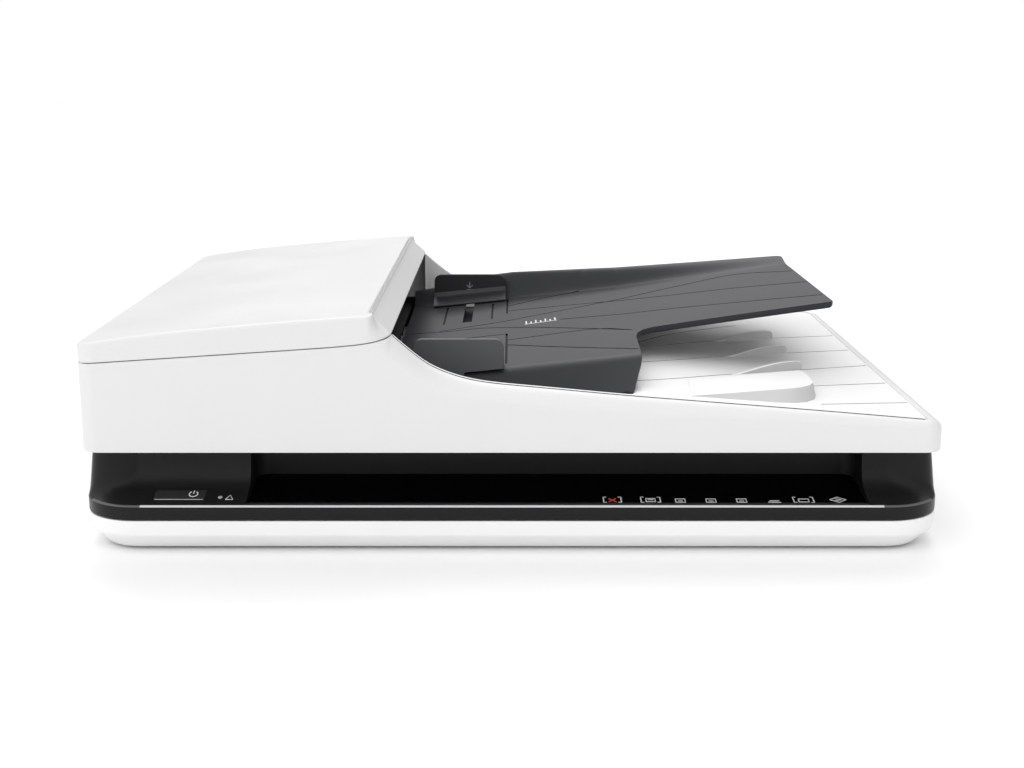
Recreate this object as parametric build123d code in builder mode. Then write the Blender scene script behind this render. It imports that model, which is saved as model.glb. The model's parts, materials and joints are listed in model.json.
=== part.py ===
"""Flatbed document scanner with a sheet feeder on its lid.

Frame: +X to the right, +Y to the rear, +Z up. The origin is under the middle of the
base, on the surface that the feet stand on. All sizes are in millimetres.
"""
from build123d import *
import math
import os

os.makedirs("parts", exist_ok=True)

# ---------------------------------------------------------------- driving dimensions
BASE_HALF_WIDTH = 225.5
BASE_FRONT = -175.5
BASE_REAR = 165.0
BASE_CORNER = 30.0
FOOT_DEPTH = 2.0
SHELL_BOTTOM = 1.5
SHELL_ROUND = 9.0
CASE_SEAM = 18.4
LEDGE_FRONT_Z = 26.4
BASE_TOP = 52.5
BASE_DRAFT = 6.5
WALL = 2.5

RECESS_LEFT = -138.0
RECESS_RIGHT = 185.0
RECESS_FRONT = -168.0
RECESS_BACK = -131.0
RECESS_FRONT_Z = 25.5
RECESS_BACK_Z = 30.8
OVERLAY = 0.8

PLATEN_LEFT = -95.0
PLATEN_RIGHT = 205.0
PLATEN_HALF_DEPTH = 108.0
STRIP_X = -165.0
STRIP_WIDTH = 14.0
GLASS = 3.0
GLASS_TOP = BASE_TOP - 3.0
GLASS_LAP = 3.0

LID_HALF_WIDTH = 222.8
LID_FRONT = -171.0
LID_REAR = 161.0
LID_BOTTOM = 53.5
LID_FLOOR = 3.0
LID_WALL = 3.0
LID_CORNER = 10.0
LID_RIGHT_Z = 69.0
RIM_WIDTH = 9.0
MOUTH_X = -62.0
MOUTH_Z = 113.0
SHOULDER_X = -71.6
SHOULDER_SEAM_Z = 109.6
COVER_TOP_Z = 125.0
COVER_MID_X = -148.0
COVER_MID_Z = 119.1
COVER_LEFT_Z = 110.0
SKIRT_LEFT_Z = 99.8
COVER_GAP = 0.4
BARREL_X = -220.3
BARREL_R = 2.5

HINGE_X = 150.0
HINGE_Y = 169.0
HINGE_Z = 60.0
HINGE_PIN_R = 2.0
KNUCKLE_R = 5.0
POST_WIDTH = 26.0
POST_DEPTH = 6.4
BODY_GAP = 0.3
RUN_GAP = 0.05

ROD_Y = 20.0
ROD_Z = 13.0
ROD_R = 4.0
ROD_LEFT = -209.0
ROD_RIGHT = 212.5
BELT_Y = 44.0
BELT_PULLEY_R = 6.0
BELT_THICK = 0.8
BELT_LEFT = -200.0
BELT_RIGHT = 207.0
BELT_LOW = 11.0
BELT_HEIGHT = 6.0

FRAME_HALF = 134.0
FRAME_PLATE = 3.0
DRUM_X = -178.0
DRUM_Z = 78.0
DRUM_R = 14.0
SHAFT_R = 3.0
EXIT_X = -90.0
EXIT_Z = 62.5
EXIT_R = 5.5
EXIT_IDLER_R = 4.5
EXIT_IDLER_RISE = 10.2
EXIT_PULLEY_R = 4.5
FEED_X = -118.0
FEED_Z = 96.0
FEED_R = 10.0
PICK_X = -92.5
PICK_Z = 91.0
PICK_R = 8.0
SEPARATION_R = 9.5
DRUM_PULLEY_R = 5.5

OUTPUT_CREST_X = 66.0
OUTPUT_CREST_Z = 80.9
OUTPUT_STATIONS = ((-84.0, 62.5), (-10.0, 67.0), (50.0, 76.0), (OUTPUT_CREST_X, OUTPUT_CREST_Z))
OUTPUT_SKIN = 2.5
FIN_HALF_WIDTH = 1.2
FIN_HEIGHT = 5.4
WEDGE_LEFT = 92.0
WEDGE_RIGHT = 160.0
WEDGE_HEIGHT = 6.3

GEAR_MODULE = 0.8
DRUM_TEETH = 46
PINION_TEETH = 12
MOTOR_ANGLE = 31.0

TRAY_LEFT = -68.0
TRAY_KINK_X = 70.0
TRAY_RIGHT = 183.5
TRAY_THICK = 4.0
TRAY_PIVOT_X = -60.0
TRAY_PIVOT_Z = 76.5
TRAY_HALF = 128.0
TRAY_STATIONS = (
    (TRAY_LEFT, 80.0),
    (-54.0, 81.3),
    (-5.0, 86.1),
    (TRAY_KINK_X, 96.5),
    (TRAY_RIGHT, 116.1),
)
GUIDE_LEFT = -54.0
GUIDE_RIGHT = -4.5
GUIDE_INNER = 116.0
GUIDE_THICK = 2.5
GUIDE_FOOT = 12.0
GUIDE_TOP = 103.0
RACK_MODULE = 1.0
RACK_PINION_TEETH = 16
RACK_PINION_X = -29.0
RACK_LOW = 73.2
RACK_HIGH = 76.2

SCREW_PLACES = [(x, y) for x in (-204, 0, 204) for y in (-122.5, 152)]
FOOT_PLACES = [(x, y) for x in (-185, 185) for y in (-135, 125)]
FOOT_R = 9.8
BOSS_R = 4.0


# ---------------------------------------------------------------- helpers
def write_piece(builder, label):
    """Label a finished piece and write its STEP file."""
    builder.part.label = label
    export_step(builder.part, f"parts/{label}.step")


def base_plan(inset):
    """Rounded plan outline of the base, moved inwards by inset."""
    with Locations((0, (BASE_FRONT + BASE_REAR) / 2)):
        RectangleRounded(
            2 * (BASE_HALF_WIDTH - inset),
            BASE_REAR - BASE_FRONT - 2 * inset,
            BASE_CORNER - inset,
        )


def across(y):
    """Plane with x along +X and y along +Z, standing at the given depth."""
    return Plane.XZ.offset(-y)


def along(x):
    """Plane with x along +Y and y along +Z, standing at the given width."""
    return Plane.YZ.offset(x)


def block(x0, x1, y0, y1, z0, z1, mode=Mode.ADD):
    """Box from its two corners."""
    with Locations(((x0 + x1) / 2, (y0 + y1) / 2, (z0 + z1) / 2)):
        Box(x1 - x0, y1 - y0, z1 - z0, mode=mode)


def rod_y(x, z, radius, y0, y1, mode=Mode.ADD):
    """Cylinder along Y."""
    with Locations(Location((x, (y0 + y1) / 2, z), (90, 0, 0))):
        Cylinder(radius, y1 - y0, mode=mode)


def rod_x(y, z, radius, x0, x1, mode=Mode.ADD):
    """Cylinder along X."""
    with Locations(Location(((x0 + x1) / 2, y, z), (0, 90, 0))):
        Cylinder(radius, x1 - x0, mode=mode)


def rod_z(x, y, radius, z0, z1, mode=Mode.ADD):
    """Cylinder along Z."""
    with Locations((x, y, (z0 + z1) / 2)):
        Cylinder(radius, z1 - z0, mode=mode)


def gear_outline(teeth, module, first_angle):
    """Points of a spur gear outline with a tooth centred on first_angle (degrees)."""
    pitch_radius = teeth * module / 2
    tip = pitch_radius + 0.8 * module
    root = pitch_radius - 1.1 * module
    half_tooth = 90.0 / teeth
    points = []
    for index in range(teeth):
        middle = first_angle + index * 360.0 / teeth
        for radius, share in ((root, -1.25), (tip, -0.45), (tip, 0.45), (root, 1.25)):
            angle = math.radians(middle + share * half_tooth)
            points.append((radius * math.cos(angle), radius * math.sin(angle)))
    return points


def rack_outline(start, count, module, side):
    """Points of a straight rack along +Y whose teeth point to side * X from x = 0.

    A gap between two teeth is centred on y = 0.
    """
    pitch = math.pi * module
    points = []
    for index in range(count):
        middle = (start + index + 0.5) * pitch
        for depth, share in ((-1.1, -0.31), (0.8, -0.11), (0.8, 0.11), (-1.1, 0.31)):
            points.append((side * depth * module, middle + share * pitch))
    back = -side * 4.2 * module
    points.append((back, points[-1][1]))
    points.append((back, points[0][1]))
    return points


def lid_top_curve():
    """Concave top line of the lid, from the feeder mouth down to the right edge."""
    Spline(
        (MOUTH_X, MOUTH_Z),
        (-45, 99),
        (-24, 90.6),
        (10, 86.1),
        (88, 79.6),
        (LID_HALF_WIDTH, LID_RIGHT_Z),
    )


def tray_top_z(x):
    """Height of the input tray's top surface."""
    for (x0, z0), (x1, z1) in zip(TRAY_STATIONS, TRAY_STATIONS[1:]):
        if x <= x1:
            return z0 + (z1 - z0) * (x - x0) / (x1 - x0)
    return TRAY_STATIONS[-1][1]


def output_surface_z(x):
    """Height of the output tray's top surface to the right of its crest."""
    drop = OUTPUT_CREST_Z - LID_RIGHT_Z - 0.3
    return OUTPUT_CREST_Z - drop * (x - OUTPUT_CREST_X) / (LID_HALF_WIDTH - OUTPUT_CREST_X)


# ---------------------------------------------------------------- base: shell and bezel
SHELL_INNER_BOTTOM = SHELL_BOTTOM + WALL
USB_X = 62.0
DC_X = 96.0
BOARD_Z = 10.8
BOARD = 1.6
PORT_LOW = BOARD_Z + BOARD
PORT_HIGH = PORT_LOW + 11.0
PORT_FACE = BASE_REAR - 0.5
PORTS = ((USB_X, 6.3), (DC_X, 4.8))
SOCKET_HALF = 18.0
SOCKET_FRONT = 158.0
BUTTON_LEFT = -186.7
BUTTON_WIDTH = 27.0
BUTTON_FRONT = -169.1
BUTTON_BACK = -160.4
LIGHT_X = -152.0
LIGHT_Y = -166.5
LIGHT_R = 1.15

with BuildPart() as base_bottom_shell:
    with BuildSketch(Plane.XY.offset(SHELL_BOTTOM)):
        base_plan(0)
    extrude(amount=CASE_SEAM - SHELL_BOTTOM)
    fillet(base_bottom_shell.faces().sort_by(Axis.Z)[0].edges(), SHELL_ROUND)
    with BuildSketch(Plane.XY.offset(SHELL_INNER_BOTTOM)):
        base_plan(SHELL_ROUND)
    extrude(amount=SHELL_ROUND, mode=Mode.SUBTRACT)
    with BuildSketch(Plane.XY.offset(SHELL_BOTTOM + SHELL_ROUND)):
        base_plan(WALL)
    extrude(amount=CASE_SEAM, mode=Mode.SUBTRACT)
    for boss_x, boss_y in SCREW_PLACES:
        rod_z(boss_x, boss_y, BOSS_R, SHELL_INNER_BOTTOM - 0.5, CASE_SEAM)
        rod_z(boss_x, boss_y, 1.7, SHELL_BOTTOM, CASE_SEAM, Mode.SUBTRACT)
        rod_z(boss_x, boss_y, 3.4, 0, SHELL_BOTTOM + 4, Mode.SUBTRACT)
    for post_x in (-212, 211):
        block(post_x, post_x + 4, ROD_Y - 6, ROD_Y + 6, SHELL_INNER_BOTTOM - 0.5, ROD_Z + 5)
    rod_x(ROD_Y, ROD_Z, ROD_R, ROD_LEFT, ROD_RIGHT, Mode.SUBTRACT)
    with Locations(*[(x, y, SHELL_BOTTOM) for x, y in FOOT_PLACES]):
        Cylinder(FOOT_R + 0.2, 1, mode=Mode.SUBTRACT)
    for port_x, half in PORTS:
        block(
            port_x - half, port_x + half, 155, BASE_REAR + 1,
            PORT_LOW - BODY_GAP, CASE_SEAM + 1, Mode.SUBTRACT,
        )
    for standoff_x in (26, 122):
        for standoff_y in (124, 150):
            rod_z(standoff_x, standoff_y, 3.0, SHELL_INNER_BOTTOM - 0.5, BOARD_Z)
write_piece(base_bottom_shell, "base_bottom_shell")

with BuildPart() as base_bezel:
    with BuildSketch(Plane.XY.offset(CASE_SEAM)):
        base_plan(0)
    extrude(amount=LEDGE_FRONT_Z - CASE_SEAM)
    with BuildSketch(Plane.XY.offset(LEDGE_FRONT_Z)):
        base_plan(0)
    extrude(amount=BASE_TOP - LEDGE_FRONT_Z, taper=BASE_DRAFT)
    # Sockets for the lifting hinge posts, standing out of the rear wall.
    for hinge_x in (-HINGE_X, HINGE_X):
        block(hinge_x - SOCKET_HALF, hinge_x + SOCKET_HALF, SOCKET_FRONT, -BASE_FRONT, CASE_SEAM, BASE_TOP)
    # Front ledge and the wall behind it.
    with BuildSketch(along(-BASE_HALF_WIDTH - 5)):
        with BuildLine():
            Polyline(
                (-180, LEDGE_FRONT_Z),
                (BASE_FRONT, LEDGE_FRONT_Z),
                (-158, 31.0),
                (-153, 35.5),
                (-151, 42),
                (-151, 60),
                (-180, 60),
                close=True,
            )
        make_face()
    extrude(amount=2 * BASE_HALF_WIDTH + 10, mode=Mode.SUBTRACT)
    # Hollow inside: main bay, pocket under the recess and the two front side pockets.
    with BuildSketch(Plane.XY.offset(CASE_SEAM)):
        with Locations((0, 16.25)):
            RectangleRounded(436, 289.5, 24)
    extrude(amount=BASE_TOP - 3 - CASE_SEAM, mode=Mode.SUBTRACT)
    with BuildSketch(Plane.XY.offset(CASE_SEAM)):
        base_plan(WALL)
    extrude(amount=4.0, mode=Mode.SUBTRACT)
    for pocket_left, pocket_right in ((-202, RECESS_LEFT - WALL), (RECESS_RIGHT + WALL, 202)):
        block(pocket_left, pocket_right, -148, -126, CASE_SEAM, 49.5, Mode.SUBTRACT)
        block(pocket_left, pocket_right, -170, -146, CASE_SEAM, 25.5, Mode.SUBTRACT)
    # Control panel recess.
    with BuildSketch(along(RECESS_LEFT)):
        with BuildLine():
            Polyline(
                (-180, LEDGE_FRONT_Z),
                (RECESS_FRONT, RECESS_FRONT_Z + 0.5),
                (RECESS_FRONT, RECESS_FRONT_Z - OVERLAY),
                (RECESS_BACK, RECESS_BACK_Z - OVERLAY),
                (RECESS_BACK, 60),
                (-180, 60),
                close=True,
            )
        make_face()
    extrude(amount=RECESS_RIGHT - RECESS_LEFT, mode=Mode.SUBTRACT)
    # Windows over the platen glass and the feeder glass strip.
    block(PLATEN_LEFT, PLATEN_RIGHT, -PLATEN_HALF_DEPTH, PLATEN_HALF_DEPTH, 45, 60, Mode.SUBTRACT)
    block(
        STRIP_X - STRIP_WIDTH / 2, STRIP_X + STRIP_WIDTH / 2,
        -PLATEN_HALF_DEPTH, PLATEN_HALF_DEPTH, 45, 60, Mode.SUBTRACT,
    )
    for hinge_x in (-HINGE_X, HINGE_X):
        block(
            hinge_x - POST_WIDTH / 2 - BODY_GAP, hinge_x + POST_WIDTH / 2 + BODY_GAP,
            HINGE_Y - POST_DEPTH / 2 - BODY_GAP, HINGE_Y + POST_DEPTH / 2 + BODY_GAP,
            CASE_SEAM + 2, 60, Mode.SUBTRACT,
        )
    for boss_x, boss_y in SCREW_PLACES:
        rod_z(boss_x, boss_y, BOSS_R, CASE_SEAM, BASE_TOP - 2)
        rod_z(boss_x, boss_y, 1.5, CASE_SEAM, 34, Mode.SUBTRACT)
    # Seats of the power button and the status light.
    block(
        BUTTON_LEFT - BODY_GAP, BUTTON_LEFT + BUTTON_WIDTH + BODY_GAP,
        BUTTON_FRONT - BODY_GAP, BUTTON_BACK + BODY_GAP, 20, 40, Mode.SUBTRACT,
    )
    rod_z(LIGHT_X, LIGHT_Y, LIGHT_R + RUN_GAP, 20, 40, Mode.SUBTRACT)
    # Openings of the rear ports.
    for port_x, half in PORTS:
        block(
            port_x - half, port_x + half, 155, BASE_REAR + 1,
            CASE_SEAM - 1, PORT_HIGH + BODY_GAP, Mode.SUBTRACT,
        )
write_piece(base_bezel, "base_bezel")

with BuildPart() as panel_overlay:
    with BuildSketch(along(RECESS_LEFT)):
        with BuildLine():
            Polyline(
                (RECESS_FRONT, RECESS_FRONT_Z - OVERLAY),
                (RECESS_FRONT, RECESS_FRONT_Z),
                (RECESS_BACK, RECESS_BACK_Z),
                (RECESS_BACK, RECESS_BACK_Z - OVERLAY),
                close=True,
            )
        make_face()
    extrude(amount=RECESS_RIGHT - RECESS_LEFT)
write_piece(panel_overlay, "panel_overlay")

with BuildPart() as status_light_pipe:
    rod_z(LIGHT_X, LIGHT_Y, LIGHT_R, 21.8, 28.8)
write_piece(status_light_pipe, "status_light_pipe")

with BuildPart() as power_button:
    with BuildSketch(along(BUTTON_LEFT)):
        with BuildLine():
            Polyline(
                (BUTTON_FRONT, 24.0),
                (BUTTON_BACK, 24.0),
                (BUTTON_BACK, 30.7),
                (BUTTON_FRONT, 28.4),
                close=True,
            )
        make_face()
    extrude(amount=BUTTON_WIDTH)
write_piece(power_button, "power_button")

with BuildPart() as panel_board:
    block(-196, 172, -169, -152, 18.6, 20.2)
    block(-177, -169, -168, -161, 20.2, 22.4)
    for key_x in range(-70, 172, 30):
        block(key_x - 5, key_x + 5, -166, -158, 20.2, 21.6)
write_piece(panel_board, "panel_board")

# ---------------------------------------------------------------- base: optics and drive
with BuildPart() as platen_glass:
    block(
        PLATEN_LEFT - GLASS_LAP, PLATEN_RIGHT + GLASS_LAP,
        -PLATEN_HALF_DEPTH - GLASS_LAP, PLATEN_HALF_DEPTH + GLASS_LAP,
        GLASS_TOP - GLASS, GLASS_TOP,
    )
write_piece(platen_glass, "platen_glass")

with BuildPart() as feeder_glass:
    block(
        STRIP_X - STRIP_WIDTH / 2 - GLASS_LAP, STRIP_X + STRIP_WIDTH / 2 + GLASS_LAP,
        -PLATEN_HALF_DEPTH - GLASS_LAP, PLATEN_HALF_DEPTH + GLASS_LAP,
        GLASS_TOP - GLASS, GLASS_TOP,
    )
write_piece(feeder_glass, "feeder_glass")

with BuildPart() as calibration_strip:
    block(-146, -132, -PLATEN_HALF_DEPTH, PLATEN_HALF_DEPTH, GLASS_TOP - 0.5, GLASS_TOP)
write_piece(calibration_strip, "calibration_strip")

with BuildPart() as guide_rod:
    rod_x(ROD_Y, ROD_Z, ROD_R, ROD_LEFT, ROD_RIGHT)
write_piece(guide_rod, "guide_rod")

with BuildPart() as carriage_belt:
    belt_middle = (BELT_LEFT + BELT_RIGHT) / 2
    belt_span = BELT_RIGHT - BELT_LEFT
    inner_r = BELT_PULLEY_R + BODY_GAP
    with BuildSketch(Plane.XY.offset(BELT_LOW)):
        with Locations((belt_middle, BELT_Y)):
            SlotCenterToCenter(belt_span, 2 * (inner_r + BELT_THICK))
            SlotCenterToCenter(belt_span, 2 * inner_r, mode=Mode.SUBTRACT)
    extrude(amount=BELT_HEIGHT)
write_piece(carriage_belt, "carriage_belt")


def belt_pulley(x):
    """Flanged pulley of the carriage belt with a shaft hole."""
    rod_z(x, BELT_Y, BELT_PULLEY_R, BELT_LOW - 0.5, BELT_LOW + BELT_HEIGHT + 0.5)
    rod_z(x, BELT_Y, BELT_PULLEY_R + 2.2, BELT_LOW - 1.5, BELT_LOW - 0.5)
    rod_z(x, BELT_Y, BELT_PULLEY_R + 2.2, BELT_LOW + BELT_HEIGHT + 0.5, BELT_LOW + BELT_HEIGHT + 1.5)
    rod_z(x, BELT_Y, 2.0 + RUN_GAP, 0, 40, Mode.SUBTRACT)


with BuildPart() as drive_pulley:
    belt_pulley(BELT_LEFT)
write_piece(drive_pulley, "drive_pulley")

with BuildPart() as idler_pulley:
    belt_pulley(BELT_RIGHT)
write_piece(idler_pulley, "idler_pulley")

with BuildPart() as carriage_motor:
    rod_z(BELT_LEFT, BELT_Y, 12.5, 20.5, 42)
    block(BELT_LEFT - 13, BELT_LEFT + 13, BELT_Y - 20, BELT_Y + 20, 19.5, 20.5)
    rod_z(BELT_LEFT, BELT_Y, 2.0, SHELL_INNER_BOTTOM, 20)
write_piece(carriage_motor, "carriage_motor")

with BuildPart() as idler_bracket:
    block(BELT_RIGHT - 10, BELT_RIGHT + 8, BELT_Y - 12, BELT_Y + 12, SHELL_INNER_BOTTOM, 6.5)
    rod_z(BELT_RIGHT, BELT_Y, 2.0, 6, BELT_LOW + BELT_HEIGHT + 3)
write_piece(idler_bracket, "idler_bracket")

CARRIAGE_X = STRIP_X
with BuildPart() as scan_carriage:
    block(CARRIAGE_X - 12, CARRIAGE_X + 12, -117, 117, 22, 40)
    block(CARRIAGE_X - 9.5, CARRIAGE_X + 9.5, -114.5, 114.5, 30, 41, Mode.SUBTRACT)
    block(CARRIAGE_X - 12, CARRIAGE_X + 12, ROD_Y - 8, ROD_Y + 8, ROD_Z - 6.5, 22)
    block(CARRIAGE_X - 6, CARRIAGE_X + 6, BELT_Y - 5.5, BELT_Y - 2, 12, 22)
    block(CARRIAGE_X - 10, CARRIAGE_X + 10, -112, -104, 17, 22)
    rod_x(ROD_Y, ROD_Z, ROD_R + RUN_GAP, CARRIAGE_X - 20, CARRIAGE_X + 20, Mode.SUBTRACT)
write_piece(scan_carriage, "scan_carriage")

with BuildPart() as image_sensor:
    block(CARRIAGE_X - 9, CARRIAGE_X + 9, -114, 114, 30, 45.8)
    block(CARRIAGE_X - 2.5, CARRIAGE_X + 2.5, -109, 109, 44.6, 46, Mode.SUBTRACT)
write_piece(image_sensor, "image_sensor")

with BuildPart() as sensor_lens:
    block(CARRIAGE_X - 2.5, CARRIAGE_X + 2.5, -109, 109, 44.6, 45.6)
write_piece(sensor_lens, "sensor_lens")

with BuildPart() as main_board:
    block(20, 128, 118, 160, BOARD_Z, PORT_LOW)
    block(36, 50, 126, 140, PORT_LOW, PORT_LOW + 1.6)
    block(76, 84, 124, 134, PORT_LOW, PORT_LOW + 1.2)
    block(104, 118, 122, 128, PORT_LOW, PORT_LOW + 6)
write_piece(main_board, "main_board")

with BuildPart() as usb_socket:
    block(USB_X - 6, USB_X + 6, 149, PORT_FACE, PORT_LOW, PORT_HIGH)
    block(USB_X - 4.4, USB_X + 4.4, 154, BASE_REAR + 1, PORT_LOW + 1.4, PORT_HIGH - 1.2, Mode.SUBTRACT)
    block(USB_X - 2.8, USB_X + 2.8, 153.5, 161, PORT_LOW + 1.4, PORT_LOW + 3.8)
write_piece(usb_socket, "usb_socket")

with BuildPart() as dc_inlet:
    block(DC_X - 4.5, DC_X + 4.5, 150.5, PORT_FACE, PORT_LOW, PORT_HIGH)
    rod_y(DC_X, (PORT_LOW + PORT_HIGH) / 2, 3.2, 153.5, BASE_REAR + 1, Mode.SUBTRACT)
    rod_y(DC_X, (PORT_LOW + PORT_HIGH) / 2, 0.8, 152.5, 162.5)
write_piece(dc_inlet, "dc_inlet")

with BuildPart() as feet:
    with Locations(*[(x, y, FOOT_DEPTH / 2) for x, y in FOOT_PLACES]):
        Cylinder(FOOT_R, FOOT_DEPTH)
write_piece(feet, "feet")

with BuildPart() as case_screws:
    for screw_x, screw_y in SCREW_PLACES:
        rod_z(screw_x, screw_y, 1.45, 4, 30)
        rod_z(screw_x, screw_y, 3.0, 3.5, 5.5)
write_piece(case_screws, "case_screws")

# ---------------------------------------------------------------- lifting hinges
with BuildPart() as hinge_posts:
    for hinge_x in (-HINGE_X, HINGE_X):
        block(
            hinge_x - POST_WIDTH / 2, hinge_x + POST_WIDTH / 2,
            HINGE_Y - POST_DEPTH / 2, HINGE_Y + POST_DEPTH / 2, CASE_SEAM + 3, HINGE_Z,
        )
        rod_x(HINGE_Y, HINGE_Z, KNUCKLE_R, hinge_x - POST_WIDTH / 2, hinge_x + POST_WIDTH / 2)
        rod_x(HINGE_Y, HINGE_Z, HINGE_PIN_R + RUN_GAP, hinge_x - 20, hinge_x + 20, Mode.SUBTRACT)
write_piece(hinge_posts, "hinge_posts")

with BuildPart() as hinge_brackets:
    for hinge_x in (-HINGE_X, HINGE_X):
        for side in (-1, 1):
            ear = hinge_x + side * (POST_WIDTH / 2 + BODY_GAP + 2)
            block(ear - 2, ear + 2, LID_REAR, HINGE_Y, HINGE_Z - KNUCKLE_R, HINGE_Z + KNUCKLE_R)
            rod_x(HINGE_Y, HINGE_Z, KNUCKLE_R, ear - 2, ear + 2)
            rod_x(HINGE_Y, HINGE_Z, HINGE_PIN_R, ear - 2, ear + 2, Mode.SUBTRACT)
write_piece(hinge_brackets, "hinge_brackets")

with BuildPart() as hinge_pins:
    for hinge_x in (-HINGE_X, HINGE_X):
        rod_x(HINGE_Y, HINGE_Z, HINGE_PIN_R, hinge_x - 18, hinge_x + 18)
write_piece(hinge_pins, "hinge_pins")

# ---------------------------------------------------------------- lid
with BuildPart() as lid_shell:
    with BuildSketch(across(LID_FRONT)):
        with BuildLine():
            Polyline(
                (LID_HALF_WIDTH, LID_RIGHT_Z),
                (LID_HALF_WIDTH, LID_BOTTOM),
                (-LID_HALF_WIDTH, LID_BOTTOM),
                (-LID_HALF_WIDTH, SKIRT_LEFT_Z),
                (SHOULDER_X, SHOULDER_SEAM_Z),
                (MOUTH_X, MOUTH_Z),
            )
            lid_top_curve()
        make_face()
    extrude(amount=-(LID_REAR - LID_FRONT))
    fillet(lid_shell.edges().filter_by(Axis.Z), LID_CORNER)
    # Inside of the feeder half: open at the top, under the feeder cover.
    with BuildSketch(Plane.XY.offset(LID_BOTTOM + LID_FLOOR)):
        with Locations(((MOUTH_X + 3 - LID_HALF_WIDTH + 5) / 2, (LID_FRONT + LID_REAR) / 2)):
            RectangleRounded(
                MOUTH_X + 3 + LID_HALF_WIDTH - 5,
                LID_REAR - LID_FRONT - 2 * LID_WALL,
                LID_CORNER - LID_WALL,
            )
    extrude(amount=80, mode=Mode.SUBTRACT)
    # Inside of the tray half: narrow at the rim, wider below it.
    block(
        MOUTH_X - 30, LID_HALF_WIDTH - LID_WALL,
        LID_FRONT + RIM_WIDTH, LID_REAR - RIM_WIDTH, LID_BOTTOM + LID_FLOOR, 130, Mode.SUBTRACT,
    )
    block(
        MOUTH_X, LID_HALF_WIDTH - 12,
        LID_FRONT + LID_WALL, LID_REAR - LID_WALL, LID_BOTTOM + LID_FLOOR, 64, Mode.SUBTRACT,
    )
    # Window above the feeder glass.
    block(STRIP_X - 10, STRIP_X + 10, -PLATEN_HALF_DEPTH, PLATEN_HALF_DEPTH, 50, 60, Mode.SUBTRACT)
    # Seat of the cover's hinge barrel along the left wall.
    rod_y(
        BARREL_X, SKIRT_LEFT_Z + COVER_GAP, BARREL_R + BODY_GAP,
        LID_FRONT - 1, LID_REAR + 1, Mode.SUBTRACT,
    )
write_piece(lid_shell, "lid_shell")

with BuildPart() as lid_foam:
    block(-93, 203, -106, 106, 50.3, LID_BOTTOM)
write_piece(lid_foam, "lid_foam")

with BuildPart() as backing_sheet:
    block(-93, 203, -106, 106, 49.8, 50.3)
write_piece(backing_sheet, "backing_sheet")

OUTPUT_FRONT = LID_FRONT + RIM_WIDTH
OUTPUT_REAR = LID_REAR - RIM_WIDTH
OUTPUT_RIGHT = LID_HALF_WIDTH - LID_WALL
OUTPUT_LINE = (*OUTPUT_STATIONS, (OUTPUT_RIGHT, output_surface_z(OUTPUT_RIGHT)))

with BuildPart() as output_tray:
    with BuildSketch(across(OUTPUT_FRONT)):
        with BuildLine():
            Polyline(
                *OUTPUT_LINE,
                *[(x, z - OUTPUT_SKIN) for x, z in reversed(OUTPUT_LINE)],
                close=True,
            )
        make_face()
    extrude(amount=-(OUTPUT_REAR - OUTPUT_FRONT))
    # The left end lies between the side plates of the feeder chassis.
    for side in (-1, 1):
        y0, y1 = sorted((side * (FRAME_HALF - 0.5), side * 170))
        block(-90, -50, y0, y1, 50, 90, Mode.SUBTRACT)
    # Three thin paper fins, each a ramp that rises towards the right.
    for fin_x0, fin_y0, fin_x1, fin_y1 in ((126, 11, 168, 37), (127, -37, 168, -11), (125, -86, 169, -59)):
        fin_plane = Plane(
            origin=(fin_x0, fin_y0, output_surface_z(fin_x0)),
            x_dir=(fin_x1 - fin_x0, fin_y1 - fin_y0, 0),
            z_dir=(fin_y1 - fin_y0, fin_x0 - fin_x1, 0),
        )
        fin_run = math.hypot(fin_x1 - fin_x0, fin_y1 - fin_y0)
        fin_drop = output_surface_z(fin_x1) - output_surface_z(fin_x0)
        with BuildSketch(fin_plane):
            with BuildLine():
                Polyline(
                    (0, -1),
                    (fin_run - 3, fin_drop + FIN_HEIGHT),
                    (fin_run, fin_drop + 3.5),
                    (fin_run, fin_drop - 1.5),
                    close=True,
                )
            make_face()
        extrude(amount=FIN_HALF_WIDTH, both=True)
    # Broad wedge that holds the sheets' leading edge up, with its rounded nose to the right.
    with BuildSketch(across(-150)):
        with BuildLine():
            Polyline(
                (WEDGE_LEFT, output_surface_z(WEDGE_LEFT) - 0.6),
                (WEDGE_RIGHT - 5, output_surface_z(WEDGE_RIGHT - 5) + WEDGE_HEIGHT),
                (WEDGE_RIGHT, output_surface_z(WEDGE_RIGHT) + WEDGE_HEIGHT - 1.8),
                (WEDGE_RIGHT, output_surface_z(WEDGE_RIGHT) - 1),
                (WEDGE_LEFT, output_surface_z(WEDGE_LEFT) - 1),
                close=True,
            )
        make_face()
    extrude(amount=-50)
write_piece(output_tray, "output_tray")

# ---------------------------------------------------------------- feeder chassis and rollers
MOTOR_DISTANCE = GEAR_MODULE * (DRUM_TEETH + PINION_TEETH) / 2
MOTOR_X = DRUM_X + MOTOR_DISTANCE * math.cos(math.radians(MOTOR_ANGLE))
MOTOR_Z = DRUM_Z + MOTOR_DISTANCE * math.sin(math.radians(MOTOR_ANGLE))
SEPARATION_Z = FEED_Z - FEED_R - 0.5 - SEPARATION_R

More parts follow.
